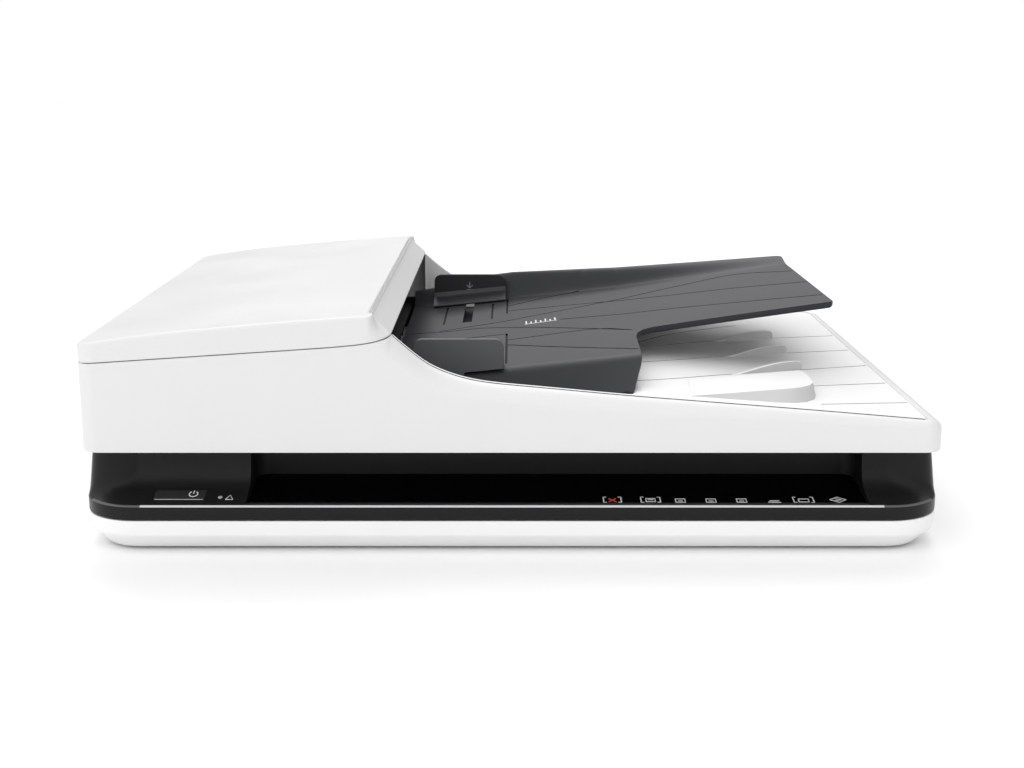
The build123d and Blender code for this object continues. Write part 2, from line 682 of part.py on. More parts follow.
with BuildPart() as feeder_chassis:
    for side in (-1, 1):
        inner = side * FRAME_HALF
        outer = side * (FRAME_HALF + FRAME_PLATE)
        block(-208, -54, min(inner, outer), max(inner, outer), LID_BOTTOM + LID_FLOOR, 84)
        block(-208, -96, min(inner, outer), max(inner, outer), 84, 96)
    for entry_x0, entry_x1, entry_z0, entry_z1 in ((-106, -70.5, 82.5, 80.0), (-150, -130, 85.0, 85.0)):
        with BuildSketch(across(-FRAME_HALF)):
            with BuildLine():
                Polyline(
                    (entry_x0, entry_z0),
                    (entry_x1, entry_z1),
                    (entry_x1, entry_z1 - 2),
                    (entry_x0, entry_z0 - 2),
                    close=True,
                )
            make_face()
        extrude(amount=-2 * FRAME_HALF)
    # Curved outer guide that turns the sheet round the drum.
    with BuildSketch(across(-FRAME_HALF)):
        with Locations((DRUM_X, DRUM_Z)):
            Circle(DRUM_R + 5)
            Circle(DRUM_R + 3, mode=Mode.SUBTRACT)
            with Locations((DRUM_R + 5, 0)):
                Rectangle(2 * DRUM_R + 10, 3 * DRUM_R, mode=Mode.SUBTRACT)
    extrude(amount=-2 * FRAME_HALF)
    rod_y(DRUM_X, DRUM_Z, SHAFT_R + RUN_GAP, -150, 150, Mode.SUBTRACT)
    rod_y(EXIT_X, EXIT_Z, SHAFT_R + RUN_GAP, -150, 150, Mode.SUBTRACT)
    rod_y(EXIT_X, EXIT_Z + EXIT_IDLER_RISE, 1.5 + RUN_GAP, -150, 150, Mode.SUBTRACT)
    rod_y(MOTOR_X, MOTOR_Z, 5.6, 130, 150, Mode.SUBTRACT)
    rod_y(TRAY_PIVOT_X, TRAY_PIVOT_Z, SHAFT_R + RUN_GAP, -150, 150, Mode.SUBTRACT)
write_piece(feeder_chassis, "feeder_chassis")

with BuildPart() as separation_bracket:
    for side in (-1, 1):
        block(
            FEED_X - 8, FEED_X + 8, side * 28 - 2, side * 28 + 2,
            LID_BOTTOM + LID_FLOOR, SEPARATION_Z + 4,
        )
    block(FEED_X + 8, FEED_X + 11, -30, 30, LID_BOTTOM + LID_FLOOR, 64)
    block(FEED_X + 7, FEED_X + 9, -30, 30, LID_BOTTOM + LID_FLOOR, 60)
    rod_y(FEED_X, SEPARATION_Z, 2.0 + RUN_GAP, -40, 40, Mode.SUBTRACT)
write_piece(separation_bracket, "separation_bracket")

with BuildPart() as separation_roller:
    rod_y(FEED_X, SEPARATION_Z, SEPARATION_R, -22, 22)
    rod_y(FEED_X, SEPARATION_Z, 2.0, -30, 30)
write_piece(separation_roller, "separation_roller")

with BuildPart() as transport_drum:
    rod_y(DRUM_X, DRUM_Z, SHAFT_R, -147, 143)
    rod_y(DRUM_X, DRUM_Z, DRUM_R - 2, -128, 128)
    for tyre_y in (-95, -45, 5, 55, 105):
        rod_y(DRUM_X, DRUM_Z, DRUM_R, tyre_y - 14, tyre_y + 4)
write_piece(transport_drum, "transport_drum")

with BuildPart() as drum_gear:
    with BuildSketch(Plane(origin=(DRUM_X, 138.2, DRUM_Z), x_dir=(1, 0, 0), z_dir=(0, -1, 0))):
        Polygon(*gear_outline(DRUM_TEETH, GEAR_MODULE, MOTOR_ANGLE), align=None)
        Circle(SHAFT_R, mode=Mode.SUBTRACT)
    extrude(amount=-4)
write_piece(drum_gear, "drum_gear")

with BuildPart() as motor_pinion:
    first = MOTOR_ANGLE + 180 + 180 / PINION_TEETH
    with BuildSketch(Plane(origin=(MOTOR_X, 138.2, MOTOR_Z), x_dir=(1, 0, 0), z_dir=(0, -1, 0))):
        Polygon(*gear_outline(PINION_TEETH, GEAR_MODULE, first), align=None)
        Circle(1.5 + RUN_GAP, mode=Mode.SUBTRACT)
    extrude(amount=-4)
write_piece(motor_pinion, "motor_pinion")

with BuildPart() as feeder_motor:
    rod_y(MOTOR_X, MOTOR_Z, 10.5, 144, 157)
    rod_y(MOTOR_X, MOTOR_Z, 1.5, 137.5, 144)
write_piece(feeder_motor, "feeder_motor")

with BuildPart() as drum_pulley:
    rod_y(DRUM_X, DRUM_Z, DRUM_PULLEY_R, -146.5, -139)
    rod_y(DRUM_X, DRUM_Z, SHAFT_R, -150, -130, Mode.SUBTRACT)
write_piece(drum_pulley, "drum_pulley")

with BuildPart() as exit_pulley:
    rod_y(EXIT_X, EXIT_Z, EXIT_PULLEY_R, -146.5, -139)
    rod_y(EXIT_X, EXIT_Z, SHAFT_R, -150, -130, Mode.SUBTRACT)
write_piece(exit_pulley, "exit_pulley")

with BuildPart() as exit_roller:
    rod_y(EXIT_X, EXIT_Z, SHAFT_R, -147, 140)
    for tyre_y in (-90, -30, 30, 90):
        rod_y(EXIT_X, EXIT_Z, EXIT_R, tyre_y - 12, tyre_y + 12)
write_piece(exit_roller, "exit_roller")

with BuildPart() as exit_idlers:
    rod_y(EXIT_X, EXIT_Z + EXIT_IDLER_RISE, 1.5, -140, 140)
    for tyre_y in (-90, -30, 30, 90):
        rod_y(EXIT_X, EXIT_Z + EXIT_IDLER_RISE, EXIT_IDLER_R, tyre_y - 8, tyre_y + 8)
write_piece(exit_idlers, "exit_idlers")

with BuildPart() as feeder_belt:
    small_r = EXIT_PULLEY_R + BODY_GAP
    large_r = DRUM_PULLEY_R + BODY_GAP
    belt_plane = Plane(origin=(0, -145.5, 0), x_dir=(1, 0, 0), z_dir=(0, -1, 0))
    for extra, cut in ((BELT_THICK, Mode.ADD), (0, Mode.SUBTRACT)):
        with BuildSketch(belt_plane):
            with Locations((DRUM_X, DRUM_Z)):
                Circle(large_r + extra)
            with Locations((EXIT_X, EXIT_Z)):
                Circle(small_r + extra)
            make_hull()
        extrude(amount=-5, mode=cut)
write_piece(feeder_belt, "feeder_belt")

with BuildPart() as feeder_backing:
    block(STRIP_X - 8, STRIP_X + 8, -PLATEN_HALF_DEPTH + 1, PLATEN_HALF_DEPTH - 1, 54, 57)
write_piece(feeder_backing, "feeder_backing")

FLAG_X = -80.0
FLAG_Z = 73.5
with BuildPart() as sensor_flag:
    rod_y(FLAG_X, FLAG_Z, 2.0, 44, 60)
    block(FLAG_X - 1, FLAG_X + 1, 50, 53, FLAG_Z, 77.5)
    block(FLAG_X + 1, FLAG_X + 8, 50, 53, FLAG_Z - 1, FLAG_Z + 1)
    rod_y(FLAG_X, FLAG_Z, 1.0 + RUN_GAP, 40, 65, Mode.SUBTRACT)
write_piece(sensor_flag, "sensor_flag")

with BuildPart() as flag_bracket:
    for ear_y in (41, 60.3):
        block(FLAG_X - 3, FLAG_X + 3, ear_y, ear_y + 2.7, 66, FLAG_Z + 3)
    block(FLAG_X - 3, FLAG_X + 3, 41, 63, 64.4, 66)
    rod_y(FLAG_X, FLAG_Z, 1.0, 41, 63)
write_piece(flag_bracket, "flag_bracket")

# ---------------------------------------------------------------- feeder cover
with BuildPart() as feeder_cover:
    with BuildSketch(across(LID_FRONT)):
        with BuildLine():
            ThreePointArc(
                (-LID_HALF_WIDTH, COVER_LEFT_Z),
                (COVER_MID_X, COVER_MID_Z),
                (SHOULDER_X, COVER_TOP_Z),
            )
            Polyline(
                (SHOULDER_X, COVER_TOP_Z),
                (MOUTH_X, MOUTH_Z + 1.6),
                (MOUTH_X, MOUTH_Z + COVER_GAP),
                (SHOULDER_X, SHOULDER_SEAM_Z + COVER_GAP),
                (-LID_HALF_WIDTH, SKIRT_LEFT_Z + COVER_GAP),
                (-LID_HALF_WIDTH, COVER_LEFT_Z),
            )
        make_face()
    extrude(amount=-(LID_REAR - LID_FRONT))
    fillet(feeder_cover.edges().filter_by(Axis.Z).group_by(Axis.X)[0], LID_CORNER)
    with BuildSketch(across(LID_FRONT + LID_WALL)):
        with BuildLine():
            ThreePointArc(
                (-LID_HALF_WIDTH + 5, COVER_LEFT_Z - 2),
                (COVER_MID_X, COVER_MID_Z - WALL),
                (SHOULDER_X - 1, COVER_TOP_Z - WALL),
            )
            Polyline(
                (SHOULDER_X - 1, COVER_TOP_Z - WALL),
                (MOUTH_X - 3, MOUTH_Z + 1),
                (MOUTH_X - 3, 90),
                (-LID_HALF_WIDTH + 5, 90),
                (-LID_HALF_WIDTH + 5, COVER_LEFT_Z - 2),
            )
        make_face()
    extrude(amount=-(LID_REAR - LID_FRONT - 2 * LID_WALL), mode=Mode.SUBTRACT)
    rod_y(BARREL_X, SKIRT_LEFT_Z + COVER_GAP, BARREL_R, LID_FRONT + LID_CORNER, LID_REAR - LID_CORNER)
write_piece(feeder_cover, "feeder_cover")

with BuildPart() as cover_guide:
    block(-150, -72, -128, 128, 109, 111)
    for hanger_y in (-34, 34):
        block(FEED_X - 6, FEED_X + 6, hanger_y - 1.5, hanger_y + 1.5, FEED_Z - 5, 109)
    for rib_y in (-120, -60, 60, 120):
        block(-150, -80, rib_y - 1, rib_y + 1, 111, 115)
    block(FEED_X - 14, PICK_X + 14, -31, 31, 108, 112, Mode.SUBTRACT)
    rod_y(FEED_X, FEED_Z, SHAFT_R + RUN_GAP, -40, 40, Mode.SUBTRACT)
write_piece(cover_guide, "cover_guide")

with BuildPart() as feed_roller:
    rod_y(FEED_X, FEED_Z, FEED_R, -24, 24)
    rod_y(FEED_X, FEED_Z, SHAFT_R, -37, 37)
write_piece(feed_roller, "feed_roller")

PICK_LENGTH = math.hypot(PICK_X - FEED_X, PICK_Z - FEED_Z)
PICK_ANGLE = math.degrees(math.atan2(PICK_Z - FEED_Z, PICK_X - FEED_X))
with BuildPart() as pick_arm:
    for side in (-1, 1):
        arm_plane = Plane(origin=(FEED_X, side * 28.5 + 1.5, FEED_Z), x_dir=(1, 0, 0), z_dir=(0, -1, 0))
        with BuildSketch(arm_plane):
            with Locations(Location((0, 0, 0), (0, 0, PICK_ANGLE))):
                with Locations((PICK_LENGTH / 2, 0)):
                    SlotCenterToCenter(PICK_LENGTH, 11)
        extrude(amount=3)
    rod_y(FEED_X + 0.5 * (PICK_X - FEED_X), FEED_Z + 9, 2, -28, 28)
    for side in (-1, 1):
        block(FEED_X + 11, FEED_X + 15, side * 28.5 - 1.5, side * 28.5 + 1.5, FEED_Z, FEED_Z + 9)
    rod_y(FEED_X, FEED_Z, SHAFT_R + RUN_GAP, -40, 40, Mode.SUBTRACT)
    rod_y(PICK_X, PICK_Z, 2.5 + RUN_GAP, -40, 40, Mode.SUBTRACT)
write_piece(pick_arm, "pick_arm")

with BuildPart() as pick_roller:
    rod_y(PICK_X, PICK_Z, PICK_R, -22, 22)
    rod_y(PICK_X, PICK_Z, 2.5, -31, 31)
write_piece(pick_roller, "pick_roller")

# ---------------------------------------------------------------- input tray and paper guides
SLOT_X0 = RACK_PINION_X - 3.0
SLOT_X1 = RACK_PINION_X + 3.0
SLOT_INNER = 34.0
SLOT_OUTER = 122.0

with BuildPart() as input_tray:
    with BuildSketch(across(-TRAY_HALF)):
        with BuildLine():
            Polyline(
                *TRAY_STATIONS,
                *[(x, z - TRAY_THICK) for x, z in reversed(TRAY_STATIONS)],
                close=True,
            )
        make_face()
    extrude(amount=-2 * TRAY_HALF)
    # Plan outline: full width at the guides, narrower and tapering towards the right.
    for side in (-1, 1):
        with BuildSketch(Plane.XY.offset(60)):
            with BuildLine():
                Polyline(
                    (TRAY_KINK_X, side * 140),
                    (TRAY_KINK_X, side * 132) if side < 0 else (-5, side * 126),
                    (TRAY_KINK_X + 9, side * 68) if side < 0 else (TRAY_KINK_X, side * 118),
                    (TRAY_RIGHT, side * 73) if side < 0 else (TRAY_RIGHT, side * 99),
                    (TRAY_RIGHT + 5, side * 140),
                    close=True,
                )
            make_face()
        extrude(amount=80, mode=Mode.SUBTRACT)
    # Front skirt under the apron and the low rear fence.
    with BuildSketch(along(-50)):
        with BuildLine():
            Polyline((-127, 100), (-124, 100), (-140, 74), (-146, 74), close=True)
        make_face()
    extrude(amount=TRAY_KINK_X - 5 + 50)
    block(-50, 20, -150, -130, 70, 76, Mode.SUBTRACT)
    with BuildSketch(across(-150)):
        with BuildLine():
            Polyline((0, 60), (0, 76), (15, 76), (66, 83.5), (90, 83.5), (90, 60), close=True)
        make_face()
    extrude(amount=-20, mode=Mode.SUBTRACT)
    with BuildSketch(across(-150)):
        with BuildLine():
            Polyline(
                *TRAY_STATIONS[:4],
                (TRAY_KINK_X, 120),
                (TRAY_LEFT, 120),
                close=True,
            )
        make_face()
    extrude(amount=-34, mode=Mode.SUBTRACT)
    with BuildSketch(Plane.XY.offset(78)):
        with BuildLine():
            Polyline((-6, 124.5), (TRAY_RIGHT, 95), (TRAY_RIGHT, 98.5), (-6, 128), close=True)
        make_face()
    extrude(amount=45)
    with BuildSketch(across(90)):
        with BuildLine():
            Polyline((-50, 92), (0, 104), (TRAY_RIGHT, 118), (TRAY_RIGHT, 130), (-50, 130), close=True)
        make_face()
    extrude(amount=-45, mode=Mode.SUBTRACT)
    with BuildSketch(across(90)):
        with BuildLine():
            Polyline(
                *[(x, tray_top_z(x) - TRAY_THICK) for x in (-52, -5, TRAY_KINK_X, TRAY_RIGHT)],
                (TRAY_RIGHT, 60),
                (-52, 60),
                close=True,
            )
        make_face()
    extrude(amount=-45, mode=Mode.SUBTRACT)
    # Lugs for the pivot pins.
    for side in (-1, 1):
        inner = side * 124
        outer = side * 133.4
        rod_y(TRAY_PIVOT_X, TRAY_PIVOT_Z, 4.5, min(inner, outer), max(inner, outer))
    rod_y(TRAY_PIVOT_X, TRAY_PIVOT_Z, SHAFT_R, 120, 140, Mode.SUBTRACT)
    rod_y(TRAY_PIVOT_X, TRAY_PIVOT_Z, SHAFT_R, -140, -120, Mode.SUBTRACT)
    # Slots for the guides' stems.
    for side in (-1, 1):
        y0, y1 = sorted((side * SLOT_INNER, side * SLOT_OUTER))
        block(SLOT_X0, SLOT_X1, y0, y1, 70, 100, Mode.SUBTRACT)
write_piece(input_tray, "input_tray")

with BuildPart() as tray_pivot_pins:
    rod_y(TRAY_PIVOT_X, TRAY_PIVOT_Z, SHAFT_R, 120, 137)
    rod_y(TRAY_PIVOT_X, TRAY_PIVOT_Z, SHAFT_R, -137, -120)
write_piece(tray_pivot_pins, "tray_pivot_pins")

with BuildPart() as rack_cover:
    block(-50, -8, -118, 118, 70.6, 72.0)
    for side in (-1, 1):
        block(-50, -8, side * 117 - 1, side * 117 + 1, 72.0, tray_top_z(-50) - TRAY_THICK)
    rod_z(RACK_PINION_X, 0, 2.0, 71, RACK_HIGH + 1.5)
write_piece(rack_cover, "rack_cover")

with BuildPart() as rack_pinion:
    with BuildSketch(Plane(origin=(RACK_PINION_X, 0, RACK_LOW))):
        Polygon(*gear_outline(RACK_PINION_TEETH, RACK_MODULE, 0), align=None)
        Circle(2.0 + RUN_GAP, mode=Mode.SUBTRACT)
    extrude(amount=RACK_HIGH - RACK_LOW)
write_piece(rack_pinion, "rack_pinion")


def guide_rack(side):
    """Rack of one guide: side +1 is the rear guide's, on the left of the pinion."""
    pitch_x = RACK_PINION_X - side * RACK_PINION_TEETH * RACK_MODULE / 2
    bar_x = pitch_x - side * 4.2 * RACK_MODULE
    with BuildSketch(Plane(origin=(pitch_x, 0, RACK_LOW))) as rack:
        Polygon(*rack_outline(-5 if side > 0 else -32, 37, RACK_MODULE, side), align=None)
    extrude(rack.sketch, amount=RACK_HIGH - RACK_LOW)
    x0, x1 = sorted((bar_x, RACK_PINION_X + side * 2.5))
    y0, y1 = sorted((side * 98, side * 112))
    block(x0, x1, y0, y1, RACK_LOW, RACK_HIGH)


def guide_wall(side):
    """Paper guide: upright wall, foot under the sheets and stem through the slot."""
    y_wall0, y_wall1 = sorted((side * GUIDE_INNER, side * (GUIDE_INNER + GUIDE_THICK)))
    y_foot0, y_foot1 = sorted((side * (GUIDE_INNER - GUIDE_FOOT), side * (GUIDE_INNER + GUIDE_THICK)))
    foot_line = [(x, tray_top_z(x) + BODY_GAP) for x in (GUIDE_LEFT, -5.0)]
    with BuildSketch(across(y_wall0)) as wall:
        with BuildLine():
            Polyline(
                foot_line[0],
                foot_line[1],
                (GUIDE_RIGHT + 0.5, GUIDE_TOP - 3),
                (GUIDE_RIGHT - 3, GUIDE_TOP),
                (GUIDE_LEFT + 3, GUIDE_TOP),
                (GUIDE_LEFT, GUIDE_TOP - 3),
                close=True,
            )
        make_face()
    extrude(wall.sketch, amount=-(y_wall1 - y_wall0))
    with BuildSketch(across(y_foot0)) as foot:
        with BuildLine():
            Polyline(
                foot_line[0],
                foot_line[1],
                (-5.0, foot_line[1][1] + 1.6),
                (GUIDE_LEFT, foot_line[0][1] + 1.6),
                close=True,
            )
        make_face()
    extrude(foot.sketch, amount=-(y_foot1 - y_foot0))
    y0, y1 = sorted((side * 101, side * 111))
    block(RACK_PINION_X - 2.5, RACK_PINION_X + 2.5, y0, y1, RACK_HIGH, tray_top_z(RACK_PINION_X) + 1)


with BuildPart() as rack_rear:
    guide_rack(1)
write_piece(rack_rear, "rack_rear")

with BuildPart() as rack_front:
    guide_rack(-1)
write_piece(rack_front, "rack_front")

with BuildPart() as guide_rear:
    guide_wall(1)
write_piece(guide_rear, "guide_rear")

with BuildPart() as guide_front:
    guide_wall(-1)
write_piece(guide_front, "guide_front")
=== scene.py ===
"""Looks of the flatbed scanner with sheet feeder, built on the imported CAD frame.

Lengths in this file are millimetres in the CAD frame (+X right, +Y rear, +Z up) and
become metres when a mesh is made.
"""
import json
import math
from contextlib import contextmanager

import bmesh
import bpy
import numpy as np
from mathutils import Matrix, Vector


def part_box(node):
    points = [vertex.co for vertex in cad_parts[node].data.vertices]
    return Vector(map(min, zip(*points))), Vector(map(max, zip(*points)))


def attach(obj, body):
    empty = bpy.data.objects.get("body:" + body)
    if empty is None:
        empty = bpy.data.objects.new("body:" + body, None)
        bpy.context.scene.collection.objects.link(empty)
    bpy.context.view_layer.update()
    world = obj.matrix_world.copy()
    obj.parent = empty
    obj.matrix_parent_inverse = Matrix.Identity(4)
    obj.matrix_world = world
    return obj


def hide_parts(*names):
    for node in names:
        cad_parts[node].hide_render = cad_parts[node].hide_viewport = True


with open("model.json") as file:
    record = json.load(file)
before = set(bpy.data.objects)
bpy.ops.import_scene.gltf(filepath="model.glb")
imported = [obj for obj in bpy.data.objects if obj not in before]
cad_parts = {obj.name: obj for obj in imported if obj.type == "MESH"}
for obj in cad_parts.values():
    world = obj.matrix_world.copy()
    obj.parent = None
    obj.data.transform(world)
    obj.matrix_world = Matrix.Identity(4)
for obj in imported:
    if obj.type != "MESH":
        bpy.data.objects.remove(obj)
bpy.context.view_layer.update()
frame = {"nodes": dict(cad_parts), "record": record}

MM = 0.001


def box_mm(node):
    """Lowest and highest corner of a CAD node in millimetres."""
    low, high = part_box(node)
    return low / MM, high / MM


LID_LOW, LID_HIGH = box_mm("lid_shell")
BASE_LOW, BASE_HIGH = box_mm("base_bottom_shell")
BEZEL_HIGH = box_mm("base_bezel")[1]
COVER_HIGH = box_mm("feeder_cover")[1]
PANEL_LOW, PANEL_HIGH = box_mm("panel_overlay")
BUTTON_LOW, BUTTON_HIGH = box_mm("power_button")
LIGHT_LOW, LIGHT_HIGH = box_mm("status_light_pipe")
TRAY_LOW, TRAY_HIGH = box_mm("input_tray")
WINDOWS = [box_mm(name) for name in ("platen_glass", "feeder_glass")]
PORTS = [box_mm(name) for name in ("usb_socket", "dc_inlet")]

CASE_SEAM = BASE_HIGH.z
BASE_CORNER = 30.0
LID_CORNER = 10.0
COVER_FRONT_CORNER = 12.0
MOUTH_X = COVER_HIGH.x
SHOULDER_X = MOUTH_X - 9.6
GLASS_LAP = 3.0

# Rim line of the lid from the feeder mouth to its right edge (x, z).
RIM_LINE = (
    (-62, 113), (-53.5, 105.6), (-44, 98.4), (-34, 93.6), (-24, 90.5), (-9, 88), (10.5, 86.2),
    (50, 82.6), (88, 79.6), (159, 74.2), (222.8, 69),
)
# Seam between lid and cover (x, z).
SEAM_LINE = (
    (-222.8, 99.8), (-110, 107.3), (-90, 108.7), (-78, 109.9), (-70, 111.2), (-64.5, 112.3), (-62, 113),
)
# Tops of the input tray and of the output tray's left part (x, z).
TRAY_LINE = ((-68, 80.0), (-54, 81.3), (-5, 86.1), (70, 96.5), (183.5, 116.1))
OUTPUT_LINE = ((-84, 62.5), (-10, 67.0), (50, 76.0), (66, 80.9))


# ---------------------------------------------------------------- small maths
def spline_function(points):
    """Natural cubic spline through (x, y) points as a function of x."""
    xs = np.array([p[0] for p in points], float)
    ys = np.array([p[1] for p in points], float)
    step = np.diff(xs)
    count = len(xs)
    system = np.zeros((count, count))
    right = np.zeros(count)
    system[0, 0] = system[-1, -1] = 1
    for i in range(1, count - 1):
        system[i, i - 1:i + 2] = step[i - 1], 2 * (step[i - 1] + step[i]), step[i]
        right[i] = 6 * ((ys[i + 1] - ys[i]) / step[i] - (ys[i] - ys[i - 1]) / step[i - 1])
    bend = np.linalg.solve(system, right)

    def value(x):
        x = min(max(x, xs[0]), xs[-1])
        i = min(int(np.searchsorted(xs, x, side="right")) - 1, count - 2)
        h, a, b = step[i], xs[i + 1] - x, x - xs[i]
        return float(
            (bend[i] * a**3 + bend[i + 1] * b**3) / (6 * h)
            + (ys[i] / h - bend[i] * h / 6) * a
            + (ys[i + 1] / h - bend[i + 1] * h / 6) * b
        )

    return value


def line_function(points):
    """Straight runs through (x, y) points as a function of x."""
    xs = [p[0] for p in points]
    ys = [p[1] for p in points]
    return lambda x: float(np.interp(x, xs, ys))


def smooth(t):
    t = min(max(t, 0.0), 1.0)
    return t * t * (3 - 2 * t)


def every(step, start, stop):
    """Evenly spaced values from start up to stop."""
    return [float(v) for v in np.arange(start, stop, step)]


rim_z = spline_function(RIM_LINE)
seam_z = line_function(SEAM_LINE)
tray_z = line_function(TRAY_LINE)
output_left_z = spline_function(OUTPUT_LINE)
fillet_width = line_function(((-62, 12), (-13, 9.8), (19, 9), (68, 8.3), (139, 7), (215, 5.6)))
fillet_drop = line_function(((-62, 14), (-40, 11), (-13, 8.9), (68, 8.7), (136, 6.2), (210, 4.6)))


# ---------------------------------------------------------------- mesh helpers
def link(name, mesh):
    obj = bpy.data.objects.new(name, mesh)
    bpy.context.scene.collection.objects.link(obj)
    return obj


@contextmanager
def edited(mesh):
    """The mesh opened for editing, and written back at the end."""
    bm = bmesh.new()
    bm.from_mesh(mesh)
    yield bm
    bm.to_mesh(mesh)
    bm.free()


def object_from(name, vertices, faces):
    """Mesh object from millimetre vertices, with its normals facing out."""
    mesh = bpy.data.meshes.new(name)
    mesh.from_pydata([(x * MM, y * MM, z * MM) for x, y, z in vertices], [], faces)
    with edited(mesh) as bm:
        bmesh.ops.remove_doubles(bm, verts=bm.verts, dist=1e-7)
        bmesh.ops.recalc_face_normals(bm, faces=bm.faces)
    return link(name, mesh)


def shade(obj, angle=28.0):
    """Smooth shading that breaks at edges sharper than the angle."""
    mesh = obj.data
    mesh.polygons.foreach_set("use_smooth", [True] * len(mesh.polygons))
    mesh.set_sharp_from_angle(angle=math.radians(angle))
    weighted = obj.modifiers.new("weighted", "WEIGHTED_NORMAL")
    weighted.keep_sharp = True
    weighted.weight = 60
    return obj


def loft(name, rings, cap_first=True, cap_last=True):
    """Closed skin through rings of equally many points."""
    count = len(rings[0])
    vertices = [p for ring in rings for p in ring]
    faces = []
    for r in range(len(rings) - 1):
        for i in range(count):
            j = (i + 1) % count
            faces.append((r * count + i, r * count + j, (r + 1) * count + j, (r + 1) * count + i))
    if cap_first:
        faces.append(tuple(reversed(range(count))))
    if cap_last:
        faces.append(tuple((len(rings) - 1) * count + i for i in range(count)))
    return object_from(name, vertices, faces)


def prism(name, outline, low, high, axis="z"):
    """Solid from a flat outline, pulled from low to high along an axis."""
    place = {
        "z": lambda a, b, c: (a, b, c),
        "y": lambda a, b, c: (a, c, b),
        "x": lambda a, b, c: (c, a, b),
    }[axis]
    return loft(name, [[place(a, b, c) for a, b in outline] for c in (low, high)])


def rectangle(x0, x1, y0, y1):
    return [(x0, y0), (x1, y0), (x1, y1), (x0, y1)]


def rounded_outline(x0, x1, y0, y1, radius, steps=8):
    """Rounded rectangle, counter-clockwise."""
    points = []
    for cx, cy, start in (
        (x1 - radius, y0 + radius, -90), (x1 - radius, y1 - radius, 0),
        (x0 + radius, y1 - radius, 90), (x0 + radius, y0 + radius, 180),
    ):
        for k in range(steps + 1):
            a = math.radians(start + 90 * k / steps)
            points.append((cx + radius * math.cos(a), cy + radius * math.sin(a)))
    return points


def circle_outline(cx, cy, radius, steps=32):
    return [
        (cx + radius * math.cos(2 * math.pi * k / steps), cy + radius * math.sin(2 * math.pi * k / steps))
        for k in range(steps)
    ]


def boolean(obj, cutter, operation="DIFFERENCE"):
    """Cut or add another object and remove it."""
    modifier = obj.modifiers.new("bool", "BOOLEAN")
    modifier.operation = operation
    modifier.object = cutter
    modifier.solver = "EXACT"
    bpy.context.view_layer.update()
    graph = bpy.context.evaluated_depsgraph_get()
    mesh = bpy.data.meshes.new_from_object(obj.evaluated_get(graph))
    obj.modifiers.clear()
    obj.data = mesh
    bpy.data.objects.remove(cutter)
    return obj


SHARP_ANGLE = math.radians(35)


def round_edges(obj, chosen, width, segments=3):
    """Bevel the sharp edges whose middle, in millimetres, passes the test."""
    with edited(obj.data) as bm:
        bmesh.ops.remove_doubles(bm, verts=bm.verts, dist=2e-6)
        bmesh.ops.dissolve_degenerate(bm, edges=bm.edges, dist=2e-6)
        edges = []
        for edge in bm.edges:
            if len(edge.link_faces) != 2 or edge.calc_face_angle(0) < SHARP_ANGLE:
                continue
            middle = (edge.verts[0].co + edge.verts[1].co) / 2 / MM
            if chosen(middle):
                edges.append(edge)
        bmesh.ops.bevel(
            bm, geom=edges, offset=width * MM, offset_type="OFFSET", segments=segments,
            profile=0.5, affect="EDGES", clamp_overlap=True,
        )
    return obj


def join(first, *others):
    """One object from several."""
    for other in others:
        with edited(first.data) as bm:
            bm.from_mesh(other.data)
        bpy.data.objects.remove(other)
    return first


def slice_grid(obj, xs, ys):
    """Cut every face along planes of constant x and y, so that the mesh can be draped."""
    with edited(obj.data) as bm:
        for value, normal in [(x, (1, 0, 0)) for x in xs] + [(y, (0, 1, 0)) for y in ys]:
            bmesh.ops.bisect_plane(
                bm, geom=list(bm.verts) + list(bm.edges) + list(bm.faces), dist=1e-7,
                plane_co=Vector(normal) * value * MM, plane_no=Vector(normal),
            )
    return obj


def drape(obj, place):
    """Move every vertex by a function of its flat position (x, y, height) in millimetres."""
    for vertex in obj.data.vertices:
        vertex.co = Vector(place(*(vertex.co / MM))) * MM
    with edited(obj.data) as bm:
        bmesh.ops.triangulate(bm, faces=[f for f in bm.faces if len(f.verts) > 4])
        bmesh.ops.recalc_face_normals(bm, faces=bm.faces)
    return obj


def band_outline(line, width):
    """Outline of a flat band along a line."""
    left, right = [], []
    for i, (x, y) in enumerate(line):
        ax, ay = line[max(i - 1, 0)]
        bx, by = line[min(i + 1, len(line) - 1)]
        length = max(math.hypot(bx - ax, by - ay), 1e-6)
        nx, ny = -(by - ay) / length, (bx - ax) / length
        left.append((x + nx * width / 2, y + ny * width / 2))
        right.append((x - nx * width / 2, y - ny * width / 2))
    return left + right[::-1]


def smooth_line(points, steps=10):
    """Smooth line through plan points, or the line itself for two points."""
    if len(points) < 3:
        return list(points)
    knots = [np.array(p, float) for p in points]
    chords = [np.linalg.norm(b - a) for a, b in zip(knots, knots[1:])]
    slopes = [(b - a) / h for a, b, h in zip(knots, knots[1:], chords)]
    tangents = [slopes[0]]
    for k in range(1, len(knots) - 1):
        share = chords[k] / (chords[k - 1] + chords[k])
        tangents.append(slopes[k - 1] * share + slopes[k] * (1 - share))
    tangents.append(slopes[-1])
    line = []
    for k, h in enumerate(chords):
        for n in range(steps):
            t = n / steps
            point = (
                knots[k] * (2 * t**3 - 3 * t * t + 1) + tangents[k] * h * (t**3 - 2 * t * t + t)
                + knots[k + 1] * (3 * t * t - 2 * t**3) + tangents[k + 1] * h * (t**3 - t * t)
            )
            line.append((float(point[0]), float(point[1])))
    line.append(tuple(points[-1]))
    return line


